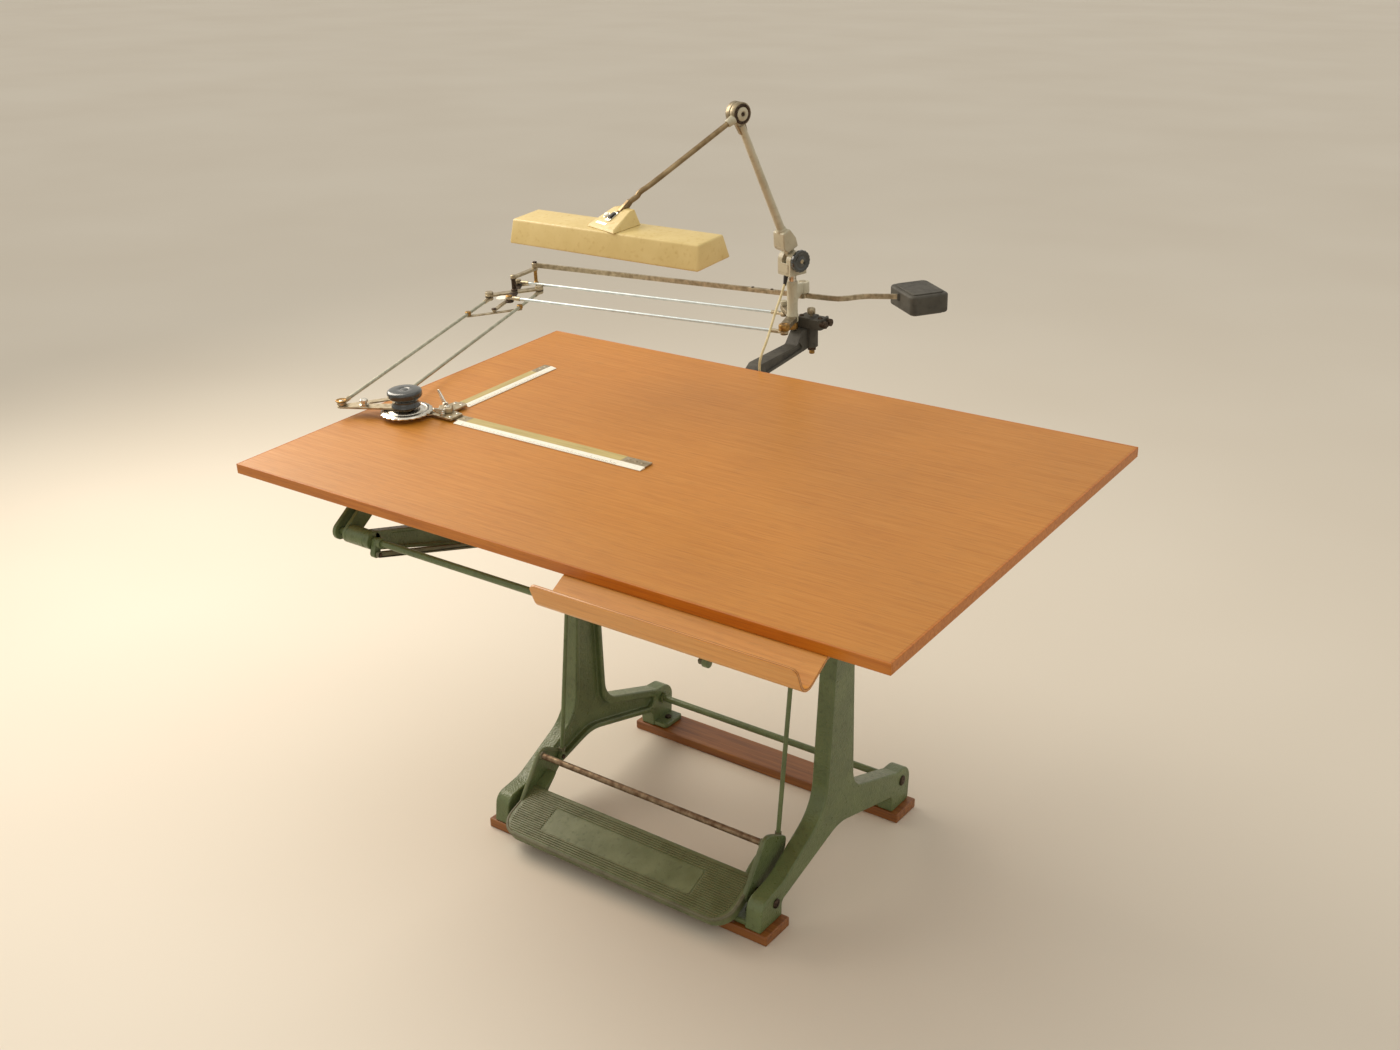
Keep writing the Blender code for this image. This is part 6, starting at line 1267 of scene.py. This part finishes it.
def lamp_arms():
    """Fat painted lower arm, the ringed elbow, and the thin bronzed upper arm bent down to the shade."""
    pivot, top = LAMP_BASE, LAMP_ELBOW
    away = (top - pivot).normalized()
    shift = V((0, -0.0060, 0))
    arm = rod("lower_arm_tube", pivot + away * 0.055, top - away * 0.030 + shift, 0.0100, 0.0086, 0.0008,
              36)
    fit(arm, LAMP, CREAM, "lamp_lower", "lamp_lower_arm")
    tongue = slab("lower_tongue", bar_ends((pivot.x, pivot.z), (pivot.x + away.x * 0.04,
                                                                pivot.z + away.z * 0.04), 0.0220), 0.0120,
                  (0, 0, 0), "front")
    carve(tongue, rod("hole", (0, -0.02, pivot.z), (0, 0.02, pivot.z), 0.0042))
    fit(tongue, LAMP, CREAM, "lamp_lower", None, 0.0010)
    across = V((away.z, -away.x))
    start = V((pivot.x, pivot.z)) + V((away.x, away.z)) * 0.0300
    ahead = V((away.x, away.z))
    wedge = [start - across * 0.0165, start + across * 0.0150, start + across * 0.0235 + ahead * 0.012,
             start + across * 0.0225 + ahead * 0.020, start + across * 0.0110 + ahead * 0.050,
             start - across * 0.0110 + ahead * 0.050, start - across * 0.0190 + ahead * 0.022]
    fit(slab("lower_casting", wedge, 0.0390, (0, 0, 0), "front"), LAMP, CREAM, "lamp_lower", None, 0.0030,
        3)
    fit(lathe("lower_collar", [(0.0080, 0), (0.0122, 0), (0.0128, 0.0010), (0.0120, 0.0060),
                               (0.0104, 0.0080), (0.0080, 0.0080)], pivot + away * 0.0775 + shift * 0.1,
              away, 40), LAMP, CREAM, "lamp_lower")
    neck = slab("elbow_neck", bar_ends((top.x, top.z), (top.x - away.x * 0.045, top.z - away.z * 0.045),
                                       0.0300, 0.0200), 0.0125, (0, -0.0078, 0), "front")
    fit(neck, LAMP, AGED_CAST, "lamp_lower", None, 0.0022, 3)
    disc = lathe("elbow_disc_low", [(0, 0.0004), (0.0238, 0.0004), (0.0254, 0.0022), (0.0254, 0.0130),
                                    (0.0240, 0.0150), (0.0200, 0.0156), (0, 0.0156)], top, (0, -1, 0), 52)
    fit(disc, LAMP, AGED_CAST, "lamp_lower")
    fit(rod("elbow_stud", top + V((0, -0.010, 0)), top + V((0, 0.0165, 0)), 0.0049), LAMP, BLACKED,
        "lamp_lower")
    for name, flip, body in (("near", 1, "lamp_upper"), ("far", -1, "lamp_lower")):
        ring = lathe(f"elbow_ring_{name}", [(0.0160, 0.0146), (0.0215, 0.0146), (0.0222, 0.0156),
                                            (0.0206, 0.0170), (0.0172, 0.0170), (0.0160, 0.0160),
                                            (0.0160, 0.0146)], top, (0, flip, 0), 52)
        fit(ring, LAMP, BLACKED, body)
        cap = lathe(f"elbow_cap_{name}", [(0, 0.0148), (0.0150, 0.0148), (0.0150, 0.0164), (0.0135, 0.0176),
                                          (0.0068, 0.0180), (0.0062, 0.0168), (0, 0.0168)], top,
                    (0, flip, 0), 44)
        fit(cap, LAMP, CREAM, body)
        bolt(f"elbow_screw_{name}", top + V((0, 0.0166 * flip, 0)), (0, flip, 0), LAMP, body, BLACKED,
             0.0048, 0.0016, "slot")
    upper = lathe("elbow_disc_up", [(0.0055, 0.0004), (0.0238, 0.0004), (0.0254, 0.0022), (0.0254, 0.0130),
                                    (0.0240, 0.0150), (0.0055, 0.0152), (0.0055, 0.0004)], top, (0, 1, 0),
                  52)
    fit(upper, LAMP, AGED_CAST, "lamp_upper", "lamp_upper_arm")
    side = V((0, 0.0076, 0))
    bend, foot = LAMP_BEND, LAMP_FOOT
    run = (bend - top).normalized()
    mid = bend.lerp(foot, 0.45)
    path = [top + run * 0.022 + side, top + run * 0.060 + side, top.lerp(bend, 0.5) + side,
            top.lerp(bend, 0.84) + side * 0.9, top.lerp(bend, 0.955) + side * 0.5,
            bend + V((-0.004, 0.002, -0.003)), mid, foot + V((-0.008, 0, 0.0065))]
    fit(sweep("upper_arm_tube", smooth_path(path, 8), 0.0060, 20), LAMP, BRONZE, "lamp_upper")
    ferrule = lathe("upper_ferrule", [(0.0058, 0), (0.0100, 0), (0.0104, 0.0010), (0.0086, 0.0180),
                                      (0.0070, 0.0200), (0.0058, 0.0200)], top + run * 0.022 + side, run,
                    36)
    fit(ferrule, LAMP, CREAM, "lamp_upper")
    toe = slab("upper_toe", bar_ends((foot.x, foot.z), (mid.x, mid.z), 0.016, 0.0125), 0.0088, (0, 0, 0),
               "front")
    carve(toe, rod("hole", foot + V((0, -0.02, 0)), foot + V((0, 0.02, 0)), 0.0037))
    fit(toe, LAMP, BRONZE, "lamp_upper", None, 0.0010)


def tapered(name, length, top_w, low_w, top_z, low_z, end_in):
    """A closed body wider below than above, its ends leaning in by end_in."""
    form = bmesh.new()
    bmesh.ops.create_cube(form, size=1)
    for corner in form.verts:
        high = corner.co.z > 0
        corner.co.x = (1 if corner.co.x > 0 else -1) * (length / 2 - (end_in if high else 0))
        corner.co.y = (1 if corner.co.y > 0 else -1) * (top_w if high else low_w) / 2
        corner.co.z = top_z if high else low_z
    return from_form(name, form)


def lamp_shade():
    """The saddle with its switch, the folded shade, its white inside and the tube."""
    floor = SADDLE_FLOOR
    form = bmesh.new()
    for y in (-1, 1):
        for x, across, z in ((-0.020, 0.037, 0), (0.060, 0.050, 0), (-0.014, 0.028, 0.0320),
                             (0, 0.030, 0.0320), (0.056, 0.044, 0.0060)):
            form.verts.new((x, y * across, floor + z))
    bmesh.ops.convex_hull(form, input=form.verts)
    wedge = from_form("saddle_wedge", form)
    carve(wedge, brick("slot", (0.055, 0.0096, 0.060), (-0.0155, 0, floor + 0.0400)))
    fit(wedge, SADDLE, MUSTARD, "saddle", "lamp_saddle", 0.0012, 3)
    fit(rod("saddle_pin", (0, -0.0100, 0), (0, 0.0100, 0), 0.0034), SADDLE, BLACKED, "saddle")
    slope = atan2(0.0260, 0.0560)
    home = SADDLE @ Matrix.Translation((0.0235, -0.0020, floor + 0.0211)) @ Matrix.Rotation(slope, 4, "Y")
    bezel = slab("switch_bezel", oblong(-0.0125, 0.0165, -0.0085, 0.0085, 0.002), 0.0022, (0, 0, 0.0008))
    carve(bezel, brick("well", (0.0190, 0.0106, 0.02), (0, 0, 0)))
    fit(bezel, home, CHROME, "saddle", None, 0.0004)
    fit(brick("switch_rocker", (0.0176, 0.0094, 0.0052), (0, 0, 0.0029), (0, radians(-5), 0)), home,
        SWITCH_BLACK, "switch", "lamp_switch", 0.0010)
    fit(brick("switch_lamp", (0.0034, 0.0086, 0.0020), (0.0130, 0, 0.0018)), home, WHITE, "saddle", None,
        0.0004)
    fit(lathe("push_button", [(0, 0), (0.0060, 0), (0.0060, 0.0034), (0.0050, 0.0052), (0, 0.0056)],
              (0.0020, -0.0190, -0.0003), (0, 0, 1), 32), home, WHITE, "saddle")
    fit(lathe("button_ring", [(0.0060, 0), (0.0080, 0), (0.0080, 0.0012), (0.0060, 0.0012), (0.0060, 0)],
              (0.0020, -0.0190, -0.0003), (0, 0, 1), 32), home, CHROME, "saddle")
    fit(brick("bright_strip", (0.0060, 0.0360, 0.0008), (0.0262, -0.0100, 0.0002)), home, CHROME, "saddle",
        None, 0.0002, 1)
    shade = tapered("shade_sheet", SHADE_L, SHADE_TOP_W, SHADE_LOW_W, 0, -SHADE_DEEP, 0.004)
    shell = shade.modifiers.new("round", "BEVEL")
    shell.width, shell.segments, shell.limit_method = 0.0042, 4, "NONE"
    graph = bpy.context.evaluated_depsgraph_get()
    shade.data = bpy.data.meshes.new_from_object(shade.evaluated_get(graph))
    shade.modifiers.clear()
    slope = (SHADE_LOW_W - SHADE_TOP_W) / 2 / SHADE_DEEP
    wall = 0.0016
    hollow = tapered("hollow", SHADE_L - 2 * wall, SHADE_TOP_W - 2 * wall,
                     SHADE_LOW_W - 2 * wall + 2 * slope * 0.010, -wall, -SHADE_DEEP - 0.010, 0.0045)
    carve(shade, hollow)
    fit(shade, SHADE, MUSTARD, "shade", "lamp_shade")
    lining_w = SHADE_LOW_W - 2 * wall - 0.002
    lining = tapered("shade_lining", SHADE_L - 0.008, SHADE_TOP_W - 0.008, lining_w - 0.004, -0.0022,
                     -SHADE_DEEP + 0.006, 0.0045)
    inner = tapered("hollow", SHADE_L - 0.0096, SHADE_TOP_W - 0.0096, lining_w - 0.0056 + 2 * slope * 0.010,
                    -0.0030, -SHADE_DEEP - 0.004, 0.0045)
    carve(lining, inner)
    fit(lining, SHADE, INSIDE, "shade")
    for side, word in SIDES:
        x = side * (SHADE_L / 2 - 0.012)
        fit(slab(f"tube_holder_{word}", [(-0.013, -0.001), (0.013, -0.001), (0.011, -0.030, 0.008),
                                         (-0.011, -0.030, 0.008)], 0.014, (x - side * 0.001, 0, -0.003),
                 "side"), SHADE, WHITE, "shade", None, 0.0010)
        cap = lathe(f"tube_cap_{word}", [(0, 0), (0.0082, 0), (0.0084, 0.0006), (0.0084, 0.0110),
                                         (0.0080, 0.0114), (0, 0.0114)],
                    (side * (SHADE_L / 2 - 0.0192), 0, -0.0250), (-side, 0, 0), 32)
        fit(cap, SHADE, CHROME, "shade")
    half = SHADE_L / 2 - 0.030
    fit(rod("tube_glass", (-half, 0, -0.0250), (half, 0, -0.0250), 0.0079, None, 0.0008, 40), SHADE,
        GLASS_TUBE, "shade", "lamp_tube")


# ------------------------------------------------------------------ cord
def lamp_cord():
    """The lead hangs from the lamp's foot to the board's rear edge and is wound up below it."""
    start = [(-0.2000, 1.2030, 0.1655), (-0.2006, 1.2000, 0.1510), (-0.2000, 1.1900, 0.1365),
             (-0.1960, 1.1700, 0.1180), (-0.1900, 1.1440, 0.1005), (-0.1750, 1.1000, 0.0770),
             (-0.1590, 1.0550, 0.0550), (-0.1545, 1.0280, 0.0340), (-0.1532, 1.0160, 0.0170),
             (-0.1530, 1.0135, 0.0018), (-0.1501, 1.0106, -0.0137), (-0.1422, 1.0025, -0.0250),
             (-0.1313, 0.9915, -0.0292), (-0.1080, 0.9695, -0.0292), (-0.0800, 0.9440, -0.0292)]
    radius, turns, pitch = 0.0330, 7 + 69 / 360, 2.1 * CORD_R
    top = UNDER - 0.0073
    meet = radians(69)
    edge = COIL_AT + V((cos(meet), sin(meet), 0)) * radius
    ahead = V((sin(meet), -cos(meet), 0))
    start += [at_h(edge - ahead * 0.060, -0.0290), at_h(edge - ahead * 0.022, top)]
    route = smooth_path(start, 6)
    wound = []
    for k in range(int(turns * 28) + 1):
        turn = meet - radians(360) * k / 28
        wound.append(at_h(COIL_AT + V((cos(turn), sin(turn), 0)) * radius, top - pitch * k / 28))
    plug = COIL_AT + V((0.120, 0, 0))
    leave = [wound[-1], at_h(plug + V((-0.0850, -0.042, 0)), -0.0705),
             at_h(plug + V((-0.0700, -0.068, 0)), -0.0610), at_h(plug + V((-0.0410, -0.082, 0)), -0.0520),
             at_h(plug + V((-0.0135, -0.068, 0)), -0.0455), at_h(plug + V((-0.0015, -0.038, 0)), -0.0415),
             at_h(plug + V((0, -0.004, 0)), -0.0408)]
    whole = route + wound + smooth_path(leave, 8)[1:]
    lead = sweep("lamp_lead", whole, CORD_R, 10)
    fit(lead, BOARD, CORD, "board", "lamp_cord")
    length = sum((b - a).length for a, b in zip(whole, whole[1:]))
    return lead, plug, length, [BOARD @ point for point in whole]


def cord_store():
    """The spool under the board, the reliefs at both ends of the lead, and its plug."""
    lead, plug, length, line = lamp_cord()
    low = UNDER - 0.0040 - 0.0520
    spool = lathe("cord_spool_body", [(0, UNDER), (0.0293, UNDER), (0.0293, low - 0.0003),
                                      (0.0450, low - 0.0003), (0.0460, low - 0.0012),
                                      (0.0460, low - 0.0033), (0.0450, low - 0.0043),
                                      (0.0080, low - 0.0043), (0.0070, low - 0.0033), (0, low - 0.0033)],
                  COIL_AT, (0, 0, 1), 56)
    fit(spool, BOARD, BLACK_RUBBER, "board", "cord_spool")
    bolt("spool_screw", at_h(COIL_AT, low - 0.0033), (0, 0, -1), BOARD, "board", BLACKED, 0.0055, 0.0024,
         "slot")
    sleeve = lathe("lead_relief", [(0.0031, 0), (0.0052, 0), (0.0056, 0.0030), (0.0036, 0.0240),
                                   (0.0031, 0.0245)], (-0.2000, 1.2030, 0.1662), (-0.03, -0.22, -0.97), 24)
    fit(sleeve, BOARD, BLACK_RUBBER, "board")
    body = lathe("plug_body", [(0, 0), (0.0050, 0), (0.0090, 0.0060), (0.0140, 0.0100), (0.0172, 0.0200),
                               (0.0178, 0.0360), (0.0170, 0.0378), (0, 0.0380)],
                 at_h(plug + V((0, 0.005, 0)), -0.0408), (0, 1, 0), 40)
    fit(body, BOARD, BLACK_RUBBER, "board", "lamp_plug")
    relief = lathe("plug_relief", [(0.0031, 0), (0.0040, 0), (0.0058, 0.0240), (0.0070, 0.0290),
                                   (0, 0.0300)], at_h(plug + V((0, -0.022, 0)), -0.0408), (0, 1, 0), 24)
    fit(relief, BOARD, BLACK_RUBBER, "board")
    for i, x in enumerate((-0.0095, 0.0095)):
        fit(rod(f"plug_pin_{i}", at_h(plug + V((x, 0.042, 0)), -0.0408),
                            at_h(plug + V((x, 0.062, 0)), -0.0408), 0.0024, None, 0.0008), BOARD, CHROME,
                        "board")
    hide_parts("cord_coil")


side_frames()
pedal()
locking_rods()
lift()
board()
machine_clamp()
column()
upper_arm()
elbow()
lower_arm()
head()
lamp_foot()
lamp_arms()
lamp_shade()
cord_store()


# ------------------------------------------------------------------ room, light, camera
def room():
    """A pale matt floor, soft even light all round, and three large soft lamps."""
    floor = brick("floor", (160, 160, 0.02), (0, 0, -0.0101))
    floor.data.materials.clear()
    made, tree, surface, place = begin("pale_matt_floor", Roughness=0.62)
    drift = add(tree, "ShaderNodeTexNoise", {"Scale": 1 / 1.6, "Detail": 2.0}, {"Vector": place})
    tone = add(tree, "ShaderNodeValToRGB", None, {"Fac": drift.outputs["Fac"]},
               ((0.3, "#D8CFC0"), (0.7, "#DDD5C7")))
    tree.links.new(tone.outputs["Color"], surface.inputs["Base Color"])
    floor.data.materials.append(made)
    world = bpy.data.worlds.new("studio")
    bpy.context.scene.world = world
    world.use_nodes = True
    back = world.node_tree.nodes["Background"]
    back.inputs["Color"].default_value = colour("#EFE9DE")
    back.inputs["Strength"].default_value = 0.85

    def lamp(name, at, aim, size, power, tone):
        light = bpy.data.lights.new(name, "AREA")
        light.shape = "RECTANGLE"
        light.size, light.size_y = size
        light.energy = power
        light.color = colour(tone)[:3]
        obj = bpy.data.objects.new(name, light)
        bpy.context.scene.collection.objects.link(obj)
        obj.location = at
        obj.rotation_euler = (V(aim) - V(at)).to_track_quat("-Z", "Y").to_euler()
    lamp("window_left", (-2.7, 0.3, 2.5), (0, 0.3, 0.6), (2.0, 2.0), 78, "#FFF3E2")
    lamp("top_soft", (0.2, 0.0, 3.6), (0, 0.3, 0.6), (3.2, 3.2), 14, "#FFFAF2")
    lamp("front_fill", (1.0, -3.6, 2.0), (0, 0.2, 0.5), (2.6, 1.8), 8, "#FFF4E6")


def camera():
    """A slightly long lens above the right front corner, turned left and down."""
    view = bpy.data.cameras.new("view")
    view.sensor_width = 36.0
    view.lens = 39.36
    obj = bpy.data.objects.new("view", view)
    bpy.context.scene.collection.objects.link(obj)
    yaw, pitch = radians(35.44), radians(22.42)
    obj.location = (1.6967, -2.1355, 1.924)
    look = V((-sin(yaw) * cos(pitch), cos(yaw) * cos(pitch), -sin(pitch)))
    obj.rotation_euler = look.to_track_quat("-Z", "Y").to_euler()
    bpy.context.scene.camera = obj


room()
camera()
bpy.context.scene.view_settings.view_transform = "Standard"
